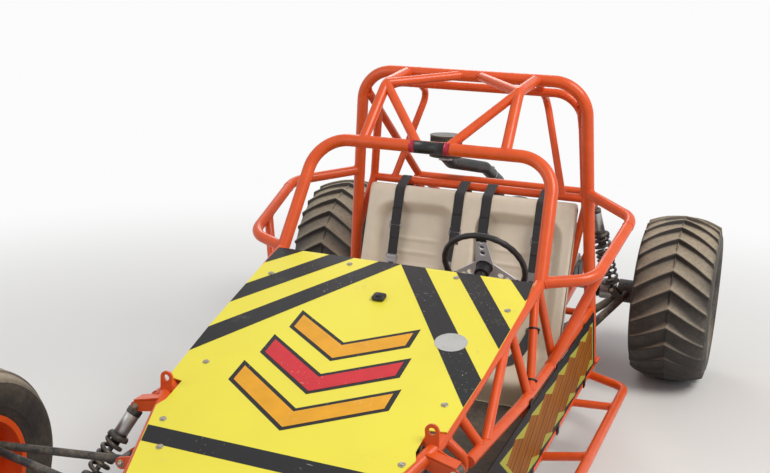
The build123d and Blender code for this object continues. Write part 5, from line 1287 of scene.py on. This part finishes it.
def shock_set(top, foot, body, spring, turns, wire, share):
    """One coil-over shock as three shells: its damper, its cap, seats and eyes, and its spring.

    The collar under which the spring begins lies at a share of the way from top to foot.
    """
    top, foot = np.asarray(top, float), np.asarray(foot, float)
    length = np.linalg.norm(foot - top)
    axis = (foot - top) / length
    silver, black, coil = Shell(), Shell(), Shell()
    cap, collar, seat = 0.030, share * length, length - 0.036
    tail = collar + 0.10 * length
    boss(silver, top, axis,
         [(0.009, 0.010), (0.009, cap - 0.002), (body - 0.002, cap - 0.001), (body, cap + 0.002),
          (body, collar), (body - 0.006, collar + 0.002), (body - 0.006, tail)], 40, 0.0005)
    boss(silver, top, axis, [(0.0085, tail - 0.003), (0.0085, length - 0.012)], 24, 0.0005)
    turned(black, top, axis,
           [(0.0095, 0.0175), (body - 0.002, 0.0180), (body + 0.0014, 0.0205),
            (body + 0.0014, cap + 0.007), (body + 0.0004, cap + 0.009),
            (body + 0.0002, cap - 0.002), (0.0095, cap - 0.003)], 40)
    turned(black, top, axis,
           [(body + 0.0002, collar - 0.016), (spring - 0.004, collar - 0.014),
            (spring, collar - 0.008), (spring, collar + 0.001), (body - 0.0055, collar + 0.003),
            (body - 0.0055, collar + 0.0025), (body + 0.0002, collar - 0.001)], 40)
    turned(black, top, axis,
           [(0.009, seat - 0.014), (spring - 0.004, seat - 0.012), (spring, seat - 0.006),
            (spring, seat - 0.001), (0.018, seat + 0.006), (0.009, seat + 0.006)], 40)
    for eye in (top, foot):
        boss(black, eye - np.array([0, 0.0189, 0]), (0, 1, 0),
             [(0.0160, 0.0), (0.0170, 0.001), (0.0170, 0.0368), (0.0160, 0.0378)], 36, 0.0067)
    spring_piece(coil, top, foot, wire, spring - wire / 2 - 0.001, collar + 0.003 + wire / 2,
                 seat - 0.014 - wire / 2, turns)
    return silver, black, coil


class BUGGY_OT_wind_springs(bpy.types.Operator):
    """Replace the plain shocks with dampers and wound springs"""
    bl_idname = "buggy.wind_springs"
    bl_label = "Wind the springs"

    def execute(self, context):
        sizes = context.scene.buggy_springs
        silver_skin = surface_material("damper_silver", (0.52, 0.52, 0.53), 0.34, metallic=0.9,
                                       shade=(0.40, 0.38, 0.36), dust=0.42, dust_scale=20.0)
        black_skin = surface_material("shock_black", (0.018, 0.018, 0.019), 0.46, dust=0.42,
                                      dust_scale=22.0, bump=0.2)
        coil_skin = surface_material("spring_black", (0.020, 0.020, 0.021), 0.34, coat=0.2,
                                     bare=(0.3, 0.28, 0.26), worn=0.25, worn_scale=20.0, dust=0.45,
                                     dust_scale=16.0, bump=0.1)
        for end, *sizes_of_shock in (
                # name, body radius, spring radius, turns, wire, the collar's share
                ("front", 0.0235, 0.036, 4.7, sizes.front_wire, 0.41),
                ("rear", 0.0265, 0.044, 8.3, sizes.rear_wire, 0.36)):
            silver, black, coil = shock_set(*SHOCK_EYES[end], *sizes_of_shock)
            for label, shell, skin in (("dampers", silver, silver_skin),
                                       ("spring_seats", black, black_skin),
                                       ("springs", coil, coil_skin)):
                shell.mirror()
                piece = shell.make(end + "_" + label, skin, "chassis", "shock_mix")
                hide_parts(end + "_shocks")
        return {"FINISHED"}


# Outline of one paddle: distance ahead of its crest in metres, share of its height
PADDLE_OUTLINE = (
    (-0.0345, 0.03), (-0.0215, 0.05), (-0.0135, 0.14), (-0.0098, 0.40), (-0.0080, 0.88),
    (-0.0050, 1.00), (0.0035, 0.97), (0.0062, 0.80), (0.0098, 0.52), (0.0165, 0.33),
    (0.0270, 0.17), (0.0405, 0.06))
# Places of a tyre's columns over its crown, in metres from its middle
REAR_COLUMNS = (0.0, 0.0022, 0.0048, 0.0085, 0.018, 0.034, 0.052, 0.072, 0.092, 0.112, 0.130,
                0.145, 0.156, 0.164, 0.1695, 0.1725, 0.1745, 0.1760)
FRONT_COLUMNS = (0.0, 0.009, 0.0145, 0.0162, 0.0175, 0.0195, 0.027, 0.0375, 0.0395, 0.0415, 0.048,
                 0.0545, 0.0565, 0.0585, 0.068, 0.078, 0.0855, 0.0885)


def tyre_section(columns, crown, half_width, rim_half):
    """A tyre's section from bead to bead, a superellipse round its widest point.

    Over the widest point x = half |cos|^0.6 and r = widest + rise sin^0.62, below it the walls
    draw in to the beads. Two fine rings stand on each wall.
    """
    tall = crown - RIM_RADIUS
    widest = RIM_RADIUS + 0.52 * tall
    over = np.arccos(np.clip((np.asarray(columns) / half_width) ** (1 / 0.6), 0, 1))
    right = np.concatenate([over, np.linspace(over[-1], -0.36 * math.pi, 56)[1:]])
    angle = np.concatenate([right[::-1], math.pi - right[1:]])
    c, s = np.cos(angle), np.sin(angle)
    x = half_width * np.sign(c) * np.abs(c) ** np.where(s > 0, 0.60, 0.86)
    x[len(right) - 1] = 0.0
    up = np.where(s > 0, crown - widest, widest - RIM_RADIUS)
    r = widest + up * np.sign(s) * np.abs(s) ** np.where(s > 0, 0.62, 0.9)
    pull = np.clip(-s, 0, 1) ** 2
    x = np.where(s < 0, x * (1 - pull) + np.sign(c) * rim_half * pull, x)
    for share, high in ((0.30, 0.0016), (0.80, 0.0011)):
        x = x + np.sign(c) * high * np.exp(-((r - RIM_RADIUS - share * tall) / 0.0028) ** 2)
    return x, r


def tyre_surface(shell, centre, section, angle, raised, trail):
    """A section turned round an axle along X: r + raised(angle, x), at angle + trail(|x|).

    Two more columns close it along the rim, under the beads.
    """
    x, r = section
    reach = r[None, :] + raised(angle[:, None], x[None, :])
    xs = np.concatenate([np.broadcast_to(x, reach.shape),
                         np.broadcast_to([x[-1] * 0.4, x[0] * 0.4], (len(angle), 2))], 1)
    rs = np.concatenate([reach, np.broadcast_to([r[-1], r[0]], (len(angle), 2))], 1)
    turn = angle[:, None] + trail(np.abs(xs))
    points = np.stack([centre[0] + xs, centre[1] + rs * np.sin(turn),
                       centre[2] + rs * np.cos(turn)], -1)
    shell.add(points, grid_quads(len(angle), points.shape[1], True, True))


class BUGGY_OT_shape_tyres(bpy.types.Operator):
    """Replace the plain tyres with moulded ones"""
    bl_idname = "buggy.shape_tyres"
    bl_label = "Shape the tyres"

    def execute(self, context):
        shape = context.scene.buggy_tyres
        rear_radius = WHEELS["rear"][2]
        offset, share = np.asarray(PADDLE_OUTLINE).T
        rear_angles = (full_turn(shape.paddles)[:, None] + offset / rear_radius).ravel()
        crown = rear_radius - shape.paddle_height
        rear = tyre_section(REAR_COLUMNS, crown=crown, half_width=0.1835, rim_half=0.1345)
        front = tyre_section(FRONT_COLUMNS, crown=0.336, half_width=0.0990, rim_half=0.0705)

        def paddles(angle, x):
            """Blades up to an arc that falls 41 mm at the edges, with a web round the middle."""
            top = rear_radius - 0.041 * (x / 0.177) ** 2
            tall = np.clip(top - rear[1][None, :], 0.0, shape.paddle_height)
            tall = tall * (1 - smoothstep((np.abs(x) - 0.1705) / 0.0050))
            tall = tall * smoothstep((rear[1][None, :] - 0.315) / 0.015)
            blade = np.tile(share, shape.paddles)[:, None] * tall
            web = 0.011 * np.clip(1 - np.abs(x) / 0.0050, 0, 1)
            worn = 0.0012 * np.sin(37.0 * angle + 260.0 * x) * (blade > 0.01)
            return np.maximum(blade - np.abs(worn), web)

        def ribs(angle, x):
            """Three rounded ribs round the tread, the middle one tallest."""
            middle = 0.009 * (1 - smoothstep((np.abs(x) - 0.0145) / 0.0045))
            outer = 0.0075 * (1 - smoothstep((np.abs(np.abs(x) - 0.048) - 0.0062) / 0.0045))
            return np.maximum(middle, outer) + 0 * angle

        def sweep(x):
            """How far chevron arms trail their apex, in radians; constant past the edge.

            The setting is a length, measured 0.40 m from the axle.
            """
            out = np.minimum(x, 0.185) / 0.185
            return shape.sweep * (0.5 - 0.85 * out - 0.15 * out ** 2) / 0.40

        for end, section, angles, raised, trail in (
                ("front", front, full_turn(180), ribs, lambda x: 0 * x),
                ("rear", rear, rear_angles, paddles, sweep)):
            shell = Shell()
            tyre_surface(shell, WHEELS[end], section, angles, raised, trail)
            for side, sign in SIDES:
                piece = shell.make(end + "_tyre_skin_" + side, MATERIALS[end + "_tyre_rubber"],
                                   end + "_wheel_" + side, "tyre_rubber", flip=sign)
                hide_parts(end + "_tyre_" + side)
        return {"FINISHED"}


class BUGGY_OT_fit_wheel_nuts(bpy.types.Operator):
    """Bolt the wheels: nuts, centre caps and valves"""
    bl_idname = "buggy.fit_wheel_nuts"
    bl_label = "Fit the wheel nuts"

    def execute(self, context):
        zinc = MATERIALS["zinc_screw"]
        for end, disc in (("front", 0.012), ("rear", 0.020)):
            x, y, z = WHEELS[end]

            def on_disc(out, reach, degrees):
                """A point out from the wheel's disc, at a reach and an angle from its axle."""
                a = math.radians(degrees)
                return (x + disc + out, y + reach * math.cos(a), z + reach * math.sin(a))

            nuts = Shell()
            for i in range(5):
                boss(nuts, on_disc(0.0145, 0.055, 72 * i + 18), SIDE_AXIS,
                     [(0.0115, 0.0), (0.0115, 0.009), (0.0085, 0.016), (0.0065, 0.020)], 6)
            turned(nuts, on_disc(0.031, 0.0, 0), SIDE_AXIS,
                   [(0.0003, 0.0), (0.029, 0.0), (0.029, 0.004), (0.026, 0.010),
                    (0.012, 0.014), (0.0003, 0.015)], 40)
            boss(nuts, on_disc(0.006, 0.165, 200), SIDE_AXIS,
                 [(0.006, 0.0), (0.0045, 0.010), (0.0045, 0.034), (0.0035, 0.040)], 16)
            for side, sign in SIDES:
                nuts.make(end + "_wheel_nuts_" + side, zinc, end + "_wheel_" + side, "steel",
                          flip=sign)
        return {"FINISHED"}


# The bench in (y, z): its riding face from the front edge to the crest, and its shell behind
BENCH_FACE = ((-0.0848, 0.2462), (-0.0848, 0.325), (-0.078, 0.345), (-0.060, 0.352),
              (0.10, 0.3387), (0.300, 0.322), (0.345, 0.345), (0.431, 0.647), (0.517, 0.949),
              (0.525, 0.9625), (0.5476, 0.9718))
BENCH_SHELL = ((-0.0825, 0.2458), (-0.078, 0.2458), (-0.072, 0.2458), (-0.060, 0.2458),
               (0.10, 0.2458), (0.345, 0.2458), (0.430, 0.330), (0.506, 0.640), (0.5790, 0.938),
               (0.5755, 0.956), (0.5500, 0.9715))
BENCH_HALF, BENCH_EDGE = 0.4895, 0.014
BUCKETS = (-0.2425, 0.2425)
# The foot and the lean of the back rest and the front and the slope of the cushion, in (y, z)
BACK_FOOT = np.array([0.345, 0.345])
BACK_UP = unit([0.172, 0.604])
CUSHION_FRONT = np.array([-0.060, 0.352])
CUSHION_BACK = unit([0.360, -0.030])
# The ways that their faces look
BACK_NORMAL = np.array([0.0, -BACK_UP[1], BACK_UP[0]])
CUSHION_NORMAL = np.array([0.0, -CUSHION_BACK[1], CUSHION_BACK[0]])


def lap_slot(centre, side, depth):
    """A point in a lap strap's slot, at a depth behind the face of the back rest."""
    mouth = np.array([centre + side * 0.118, *(BACK_FOOT + BACK_UP * 0.075)])
    return mouth - BACK_NORMAL * depth


def smooth_run(points, shares, samples, width):
    """Points read along key points at given shares, then averaged over a sliding window."""
    t = np.linspace(0, 1, samples)
    window = np.hanning(width + 2)[1:-1]
    window /= window.sum()
    out = []
    for values in points.T:
        wide = np.pad(np.interp(t, shares, values), width // 2, mode="reflect",
                      reflect_type="odd")
        out.append(np.convolve(wide, window, "valid"))
    return np.stack(out, -1)


def inside_box(across, along, half_across, half_along, corner, slope):
    """One in a rounded rectangle, falling to zero over its sloped edge."""
    qx = np.abs(across) - (half_across - corner)
    qy = np.abs(along) - (half_along - corner)
    reach = (np.hypot(np.maximum(qx, 0), np.maximum(qy, 0)) + np.minimum(np.maximum(qx, qy), 0)
             - corner)
    return smoothstep(-reach / slope)


def bucket_depth(x, y, z):
    """How deep the two buckets are at a point of the riding face, less their flutes.

    Each bucket has one hollow in the cushion and one in the back rest, with five flutes across
    it. The places are measured up the back rest and along the cushion.
    """
    half, corner = 0.210, 0.105
    back = (y - BACK_FOOT[0]) * BACK_UP[0] + (z - BACK_FOOT[1]) * BACK_UP[1]
    base = (y - CUSHION_FRONT[0]) * CUSHION_BACK[0] + (z - CUSHION_FRONT[1]) * CUSHION_BACK[1]
    deep = 0.0
    for centre in BUCKETS:
        low = inside_box(x - centre, base - 0.255, half, 0.235, corner, 0.048) * (z < 0.42)
        high = (inside_box(x - centre, back - 0.270, half, 0.315, corner, 0.052)
                * smoothstep((back + 0.045) / 0.06))
        deep = np.maximum(deep, np.maximum(0.028 * low, 0.042 * high))
        ends = 1 - smoothstep((np.abs(x - centre) - 0.075) / 0.05)
        for row in range(5):
            flute = np.exp(-((back - 0.165 - 0.062 * row) / 0.0075) ** 2)
            deep = deep - 0.0045 * flute * ends
    return deep


class BUGGY_OT_mould_seats(bpy.types.Operator):
    """Mould the bench with its two buckets and rolled rim, its grommets and its drains"""
    bl_idname = "buggy.mould_seats"
    bl_label = "Mould the seats"

    def execute(self, context):
        face, shell_side = (np.array(run) for run in (BENCH_FACE, BENCH_SHELL))
        shares = np.concatenate([[0], np.cumsum(np.hypot(*np.diff(face, axis=0).T))])
        shares /= shares[-1]
        front, behind = (smooth_run(run, shares, samples=176, width=9)
                         for run in (face, shell_side))
        even = np.linspace(-1, 1, 171)
        x = BENCH_HALF * (0.55 * np.sin(even * math.pi / 2) + 0.45 * even)
        over = np.clip((np.abs(x) - (BENCH_HALF - BENCH_EDGE)) / BENCH_EDGE, 0, 1)
        edge = BENCH_EDGE * (1 - np.sqrt(1 - over ** 2))[None, :]

        def sunk(run, depth):
            """A run carried across the bench and sunk by a depth along its own normal."""
            ahead = unit(np.gradient(run, axis=0))
            y, z = run[:, :1] + ahead[:, 1:] * depth, run[:, 1:] - ahead[:, :1] * depth
            return np.stack([np.broadcast_to(x, y.shape), y, z], -1)

        y, z = (front[:, i][:, None] + 0 * x for i in (0, 1))
        depth = bucket_depth(x[None, :], y, z) * (front[:, 1] > 0.30)[:, None] + edge
        points, back = sunk(front, depth), sunk(behind, -edge)
        bench = Shell()
        slab(bench, points, back)
        piece = bench.make("moulded_bench", MATERIALS["seat_moulding"], "chassis", "seat_vinyl")
        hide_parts("bench_seat")
        rings = Shell()
        for centre in BUCKETS:
            for side in (-1.0, 1.0):
                knob(rings, lap_slot(centre, side, 0.0390), (0.030, 0.012, 0.0045),
                     axes_on(BACK_NORMAL), 0.45, 10, 28)
            turned(rings, (centre, 0.110, 0.311), CUSHION_NORMAL,
                   [(0.0070, 0.0), (0.0125, 0.0), (0.0125, 0.0018), (0.0105, 0.0032),
                    (0.0070, 0.0020)], 28)
        rings.make("seat_grommets", MATERIALS["black_moulding"], "chassis", "black_plastic")
        return {"FINISHED"}


def webbing_strip(shell, path, across, width, thick):
    """A flat strap along a path; it thins to its selvedges as the square root of 1 - 0.86 v^6."""
    path = np.asarray(path, float)
    ahead = np.gradient(path, axis=0)
    across = np.broadcast_to(unit(across), path.shape)
    normal = unit(np.cross(across, unit(ahead)))
    v = np.linspace(-1, 1, 13)
    half = 0.5 * thick * np.sqrt(np.clip(1 - 0.86 * v ** 6, 0, 1))
    middle = path[:, None] + 0.5 * width * v[None, :, None] * across[:, None]
    lift = half[None, :, None] * normal[:, None]
    slab(shell, middle + lift, middle - lift)


def loop_frame(shell, centre, right, up, half_right, half_up, bar, corner=0.006):
    """A rounded rectangle of round bar: straight sides joined by quarter circles."""
    angle = full_turn(48) + 0.001
    c, s = np.cos(angle), np.sin(angle)
    a = np.sign(c) * (half_right - corner) + corner * c
    b = np.sign(s) * (half_up - corner) + corner * s
    path = np.asarray(centre, float) + a[:, None] * right + b[:, None] * up
    tube(shell, path, bar, np.cross(right, up), 10, closed=True)


class BUGGY_OT_thread_harness(bpy.types.Operator):
    """Thread the harness: shoulder straps over the crest, lap straps curving from their slots"""
    bl_idname = "buggy.thread_harness"
    bl_label = "Thread the harness"

    def execute(self, context):
        straps = context.scene.buggy_harness
        webbing = MATERIALS["black_webbing"]
        steel = surface_material("buckle_steel", (0.36, 0.36, 0.37), 0.34, metallic=0.95,
                                 shade=(0.24, 0.23, 0.22), dust=0.20, dust_scale=40.0, bump=0.1)
        red = surface_material("buckle_red", (0.45, 0.012, 0.010), 0.38, dust=0.2, bump=0.1,
                               dust_scale=40.0)
        side_view = self.shoulder_run()
        shoulder, lap = Shell(), Shell()
        slides, tongues, buttons, slots = Shell(), Shell(), Shell(), Shell()
        right, normal, up = SIDE_AXIS, BACK_NORMAL, np.array([0.0, *BACK_UP])
        axes = np.stack([right, up, normal])
        for x in (-0.335, -0.045, 0.085, 0.335):
            path = np.column_stack([np.full(len(side_view), x), side_view])
            webbing_strip(shoulder, path, right, straps.width, straps.thickness)
            at = path[16] + normal * 0.0008
            loop_frame(slides, at, right, up, 0.0275, 0.0175, 0.0024)
            tube(slides, [at + right * out + normal * 0.002 for out in (-0.026, 0.026)], 0.0026,
                 up, 10)
            webbing_strip(shoulder, path[10:26] + normal * 0.0042, right, straps.width - 0.001,
                          straps.thickness)
            low = path[0] - up * 0.022
            knob(tongues, low, (0.0265, 0.030, 0.0016), axes, 0.28, 10, 36)
            knob(slots, low + normal * 0.0012 - up * 0.010, (0.0130, 0.0070, 0.0008), axes, 0.28,
                 8, 28)
            loop_frame(tongues, path[0] + up * 0.002 + normal * 0.0005, right, up, 0.0275, 0.0075,
                       0.0022, 0.004)
        t = np.linspace(0, 1, 30)[:, None]
        flat = np.stack([right, [0.0, *CUSHION_BACK], CUSHION_NORMAL])
        for centre in BUCKETS:
            for side in (-1.0, 1.0):
                slot = lap_slot(centre, side, 0.040)
                bend = np.array([centre + side * 0.085, 0.250, 0.285])
                catch = np.array([centre + side * 0.030, 0.177, 0.3125])
                path = (1 - t) ** 2 * slot + 2 * t * (1 - t) * bend + t ** 2 * catch
                ahead = (1 - t) * (bend - slot) + t * (catch - bend)
                facing_out = (1 - t) * normal + t * np.array([0.0, 0.083, 0.997])
                webbing_strip(lap, path, np.cross(ahead, facing_out), straps.width,
                              straps.thickness)
            at = np.array([centre, 0.177, 0.3085])
            knob(tongues, at + flat[2] * 0.004, (0.037, 0.026, 0.0080), flat, 0.32, 12, 40)
            knob(buttons, at + flat[2] * 0.0115, (0.013, 0.017, 0.0030), flat, 0.30, 10, 28)
        piece = shoulder.make("shoulder_straps", webbing, "chassis", "strap_fabric")
        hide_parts("harness_straps")
        lap.make("lap_straps", webbing, "chassis", "strap_fabric")
        slides.make("strap_slides", steel, "chassis", "steel")
        tongues.make("strap_tongues", steel, "chassis", "steel")
        slots.make("tongue_slots", MATERIALS["black_moulding"], "chassis", "black_plastic")
        buttons.make("buckle_buttons", red, "chassis", "black_plastic")
        return {"FINISHED"}

    @staticmethod
    def shoulder_run():
        """A shoulder strap's run in (y, z).

        It goes up the back rest, over its crest, and on the common tangent to the harness bar and
        round it, then hangs behind.
        """
        bar, crest = np.array(HARNESS_BAR), np.array([0.5476, 0.940])
        wrap, roll = 0.0206, 0.0338
        gap = crest - bar
        lean = math.atan2(-gap[1], -gap[0]) - math.asin((roll - wrap) / math.hypot(*gap))
        over = math.atan2(math.cos(lean), -math.sin(lean))
        facing = math.atan2(BACK_UP[0], -BACK_UP[1])
        y_axis, z_axis = np.eye(2)
        round_bar = bar + wrap * ring_of(np.linspace(over, 0.0, 14), y_axis, z_axis)
        round_crest = crest + roll * ring_of(np.linspace(facing, over, 16), y_axis, z_axis)
        down = round_crest[0] - BACK_UP * np.linspace(0.31, 0.004, 34)[:, None]
        sag = 0.012 * smoothstep((round_crest[0][1] - 0.06 - down[:, 1]) / 0.26)
        down = down + 0.7 * sag[:, None] * y_axis
        tail = bar + wrap * y_axis - z_axis * np.linspace(0.004, 0.080, 10)[:, None]
        return np.concatenate([down, round_crest, round_bar, tail])


class BUGGY_OT_wrap_steering_wheel(bpy.types.Operator):
    """Wrap the steering wheel's grip, stitch it and screw its hub"""
    bl_idname = "buggy.wrap_steering_wheel"
    bl_label = "Wrap the steering wheel"

    def execute(self, context):
        right = -SIDE_AXIS
        up = np.cross(STEER_AXIS, right)
        grip = surface_material("grip_leather", (0.014, 0.014, 0.015), 0.50, grain=900.0,
                                bump=0.5, dust=0.16, dust_scale=30.0,
                                shade=(0.024, 0.022, 0.020))
        zinc = MATERIALS["zinc_screw"]
        angle = full_turn(240)
        path = STEER_HUB + STEER_RING * ring_of(angle, right, up)
        swell = 0.0119 + 0.0005 * np.cos(26 * angle)
        shell = Shell()
        tube(shell, path, swell, STEER_AXIS, 20, closed=True)
        shell.make("steering_grip", grip, "steering_wheel", "grip_rubber")
        stitches = Shell()
        angle = full_turn(1200)
        inside = (STEER_RING - 0.0121 - 0.0004 * np.cos(26 * angle))[:, None]
        wave = 0.0011 * np.sin(75 * angle)[:, None] * STEER_AXIS
        path = STEER_HUB + inside * ring_of(angle, right, up) + wave
        tube(stitches, path, 0.00055, STEER_AXIS, 6, closed=True)
        stitches.make("steering_stitch", MATERIALS["buckle_steel"], "steering_wheel",
                      "grip_rubber")
        screws = Shell()
        for way in ring_of(full_turn(6), right, up):
            boss(screws, STEER_HUB + 0.024 * way + 0.0068 * STEER_AXIS, STEER_AXIS,
                 [(0.0040, 0.0), (0.0040, 0.0028), (0.0030, 0.0036), (0.0016, 0.0036),
                  (0.0014, 0.0020)], 18, 0.0002)
        screws.make("steering_screws", zinc, "steering_wheel", "steel")
        return {"FINISHED"}


# White of the studio beyond the floor, and the reach at which the floor fades into it
STUDIO_WHITE = (0.97, 0.97, 0.97, 1.0)
FADE_START, FADE_STOP = 1.9, 5.2
# The lamps: name, place, aim, size, the setting of its power, colour
LAMPS = (
    ("key_lamp", (4.2, -1.2, 6.2), (0.2, -0.2, 0.5), 3.2, "key", (1.0, 0.97, 0.92)),
    ("fill_lamp", (-4.8, -5.2, 3.6), (0.0, -0.2, 0.5), 4.0, "fill", (0.94, 0.97, 1.0)),
    ("back_lamp", (-2.5, 5.5, 4.6), (0.0, 0.6, 0.6), 3.0, "fill", (1.0, 0.98, 0.95)))
# The camera that was fitted to the photo: place, azimuth, pitch and roll in degrees, and lens
CAMERA_PLACE = (1.289, -3.739, 1.852)
CAMERA_TURN = (21.682, 13.885, -1.975)
IMAGE_WIDTH, FOCAL_PIXELS = 770, 996.158


def seen_rays(tree, glossy=1.0):
    """One for rays from the camera or through glass, and a share for mirrored ones."""
    rays = tree.nodes.new("ShaderNodeLightPath").outputs
    mirrored = math_node(tree, "MULTIPLY", rays["Is Glossy Ray"], glossy)
    through = math_node(tree, "MAXIMUM", mirrored, rays["Is Transmission Ray"])
    return math_node(tree, "MAXIMUM", rays["Is Camera Ray"], through)


class BUGGY_OT_set_stage(bpy.types.Operator):
    """Set the floor, the soft lamps, the surrounding light and the camera"""
    bl_idname = "buggy.set_stage"
    bl_label = "Set the stage"

    def execute(self, context):
        scene = context.scene
        stage = scene.buggy_stage
        self.lay_floor(scene, stage)
        self.light_surroundings(scene, stage)
        for name, place, aim, size, power, colour in LAMPS:
            light = bpy.data.lights.new(name, "AREA")
            light.size = size
            light.energy = getattr(stage, power)
            light.color = colour
            lamp = bpy.data.objects.new(name, light)
            lamp.location = place
            lamp.rotation_mode = "QUATERNION"
            lamp.rotation_quaternion = (Vector(aim) - Vector(place)).to_track_quat("-Z", "Y")
            scene.collection.objects.link(lamp)
        scene.view_settings.view_transform = "Standard"
        self.place_camera(scene)
        return {"FINISHED"}

    @staticmethod
    def lay_floor(scene, stage):
        """A matt floor that fades into the white of the studio, for the camera only."""
        mesh = bpy.data.meshes.new("studio_floor")
        reach = 40.0
        mesh.from_pydata([(-reach, -reach, 0), (reach, -reach, 0), (reach, reach, 0),
                          (-reach, reach, 0)], [], [(0, 1, 2, 3)])
        floor = bpy.data.objects.new("studio_floor", mesh)
        scene.collection.objects.link(floor)
        material, tree, shader = new_material("studio_floor")
        shader["Base Color"].default_value = rgba(stage.floor)
        shader["Roughness"].default_value = 0.9
        white = tree.nodes.new("ShaderNodeEmission")
        white.inputs["Color"].default_value = STUDIO_WHITE
        place = tree.nodes.new("ShaderNodeTexCoord")
        far = ramp(tree, vector_node(tree, "LENGTH", place.outputs["Object"]), FADE_START,
                   FADE_STOP, "SMOOTHSTEP")
        fade = mix_shader(tree, math_node(tree, "MULTIPLY", far, seen_rays(tree)),
                          tree.nodes["Principled BSDF"].outputs[0], white.outputs[0])
        tree.links.new(fade, tree.nodes["Material Output"].inputs["Surface"])
        mesh.materials.append(material)

    @staticmethod
    def light_surroundings(scene, stage):
        """A soft sky that lights the buggy, with the white of the studio where it is seen."""
        world = bpy.data.worlds.new("studio")
        scene.world = world
        world.use_nodes = True
        tree = world.node_tree
        tree.nodes.clear()
        lights = []
        for colour, strength in (((0.93, 0.96, 1.0, 1.0), stage.sky), (STUDIO_WHITE, 1.0)):
            light = tree.nodes.new("ShaderNodeBackground")
            light.inputs["Color"].default_value = colour
            light.inputs["Strength"].default_value = strength
            lights.append(light.outputs[0])
        out = tree.nodes.new("ShaderNodeOutputWorld")
        tree.links.new(mix_shader(tree, seen_rays(tree, 0.6), *lights), out.inputs[0])

    @staticmethod
    def place_camera(scene):
        """The camera that was fitted to the photo."""
        azimuth, pitch, roll = (math.radians(v) for v in CAMERA_TURN)
        level = Vector((math.cos(azimuth), math.sin(azimuth), 0.0))
        ahead = Vector((-math.sin(azimuth) * math.cos(pitch),
                        math.cos(azimuth) * math.cos(pitch), -math.sin(pitch)))
        down = ahead.cross(level)
        right = level * math.cos(roll) + down * math.sin(roll)
        up = level * math.sin(roll) - down * math.cos(roll)
        lens = bpy.data.cameras.new("photo_camera")
        lens.sensor_width = 36.0
        lens.lens = FOCAL_PIXELS / IMAGE_WIDTH * lens.sensor_width
        camera = bpy.data.objects.new("photo_camera", lens)
        camera.matrix_world = Matrix.Translation(CAMERA_PLACE) @ Matrix(
            (right, up, -ahead)).transposed().to_4x4()
        scene.collection.objects.link(camera)
        scene.camera = camera


OPERATORS = (BUGGY_OT_paint_frame, BUGGY_OT_mark_hood, BUGGY_OT_fit_hood_fasteners,
             BUGGY_OT_lay_welds, BUGGY_OT_fit_bolts, BUGGY_OT_fit_engine_details,
             BUGGY_OT_wrap_screen_bar, BUGGY_OT_wind_springs, BUGGY_OT_shape_tyres,
             BUGGY_OT_fit_wheel_nuts, BUGGY_OT_mould_seats, BUGGY_OT_thread_harness,
             BUGGY_OT_wrap_steering_wheel, BUGGY_OT_set_stage)


class BUGGY_PT_dresser(bpy.types.Panel):
    """Shows the buggy's settings and the buttons of its operators"""
    bl_idname = "BUGGY_PT_dresser"
    bl_label = "Dune buggy"
    bl_space_type = "VIEW_3D"
    bl_region_type = "UI"
    bl_category = "Buggy"

    def draw(self, context):
        for name, group in SETTINGS.items():
            box = self.layout.box()
            box.label(text=group.__doc__)
            for key in group.__annotations__:
                box.prop(getattr(context.scene, name), key)
        for operator in OPERATORS:
            self.layout.operator(operator.bl_idname)


def register():
    """Register the settings, the operators and the panel."""
    for name, group in SETTINGS.items():
        bpy.utils.register_class(group)
        setattr(bpy.types.Scene, name, bpy.props.PointerProperty(type=group))
    for operator in OPERATORS:
        bpy.utils.register_class(operator)
    bpy.utils.register_class(BUGGY_PT_dresser)


def unregister():
    """Take back what register added."""
    bpy.utils.unregister_class(BUGGY_PT_dresser)
    for operator in reversed(OPERATORS):
        bpy.utils.unregister_class(operator)
    for name, group in SETTINGS.items():
        delattr(bpy.types.Scene, name)
        bpy.utils.unregister_class(group)


def main():
    """Register and run every operator in order."""
    register()
    make_groups()
    for operator in OPERATORS:
        group, name = operator.bl_idname.split(".")
        result = getattr(getattr(bpy.ops, group), name)()
        if result != {"FINISHED"}:
            raise RuntimeError(operator.bl_label + " did not finish")


if __name__ == "__main__":
    main()
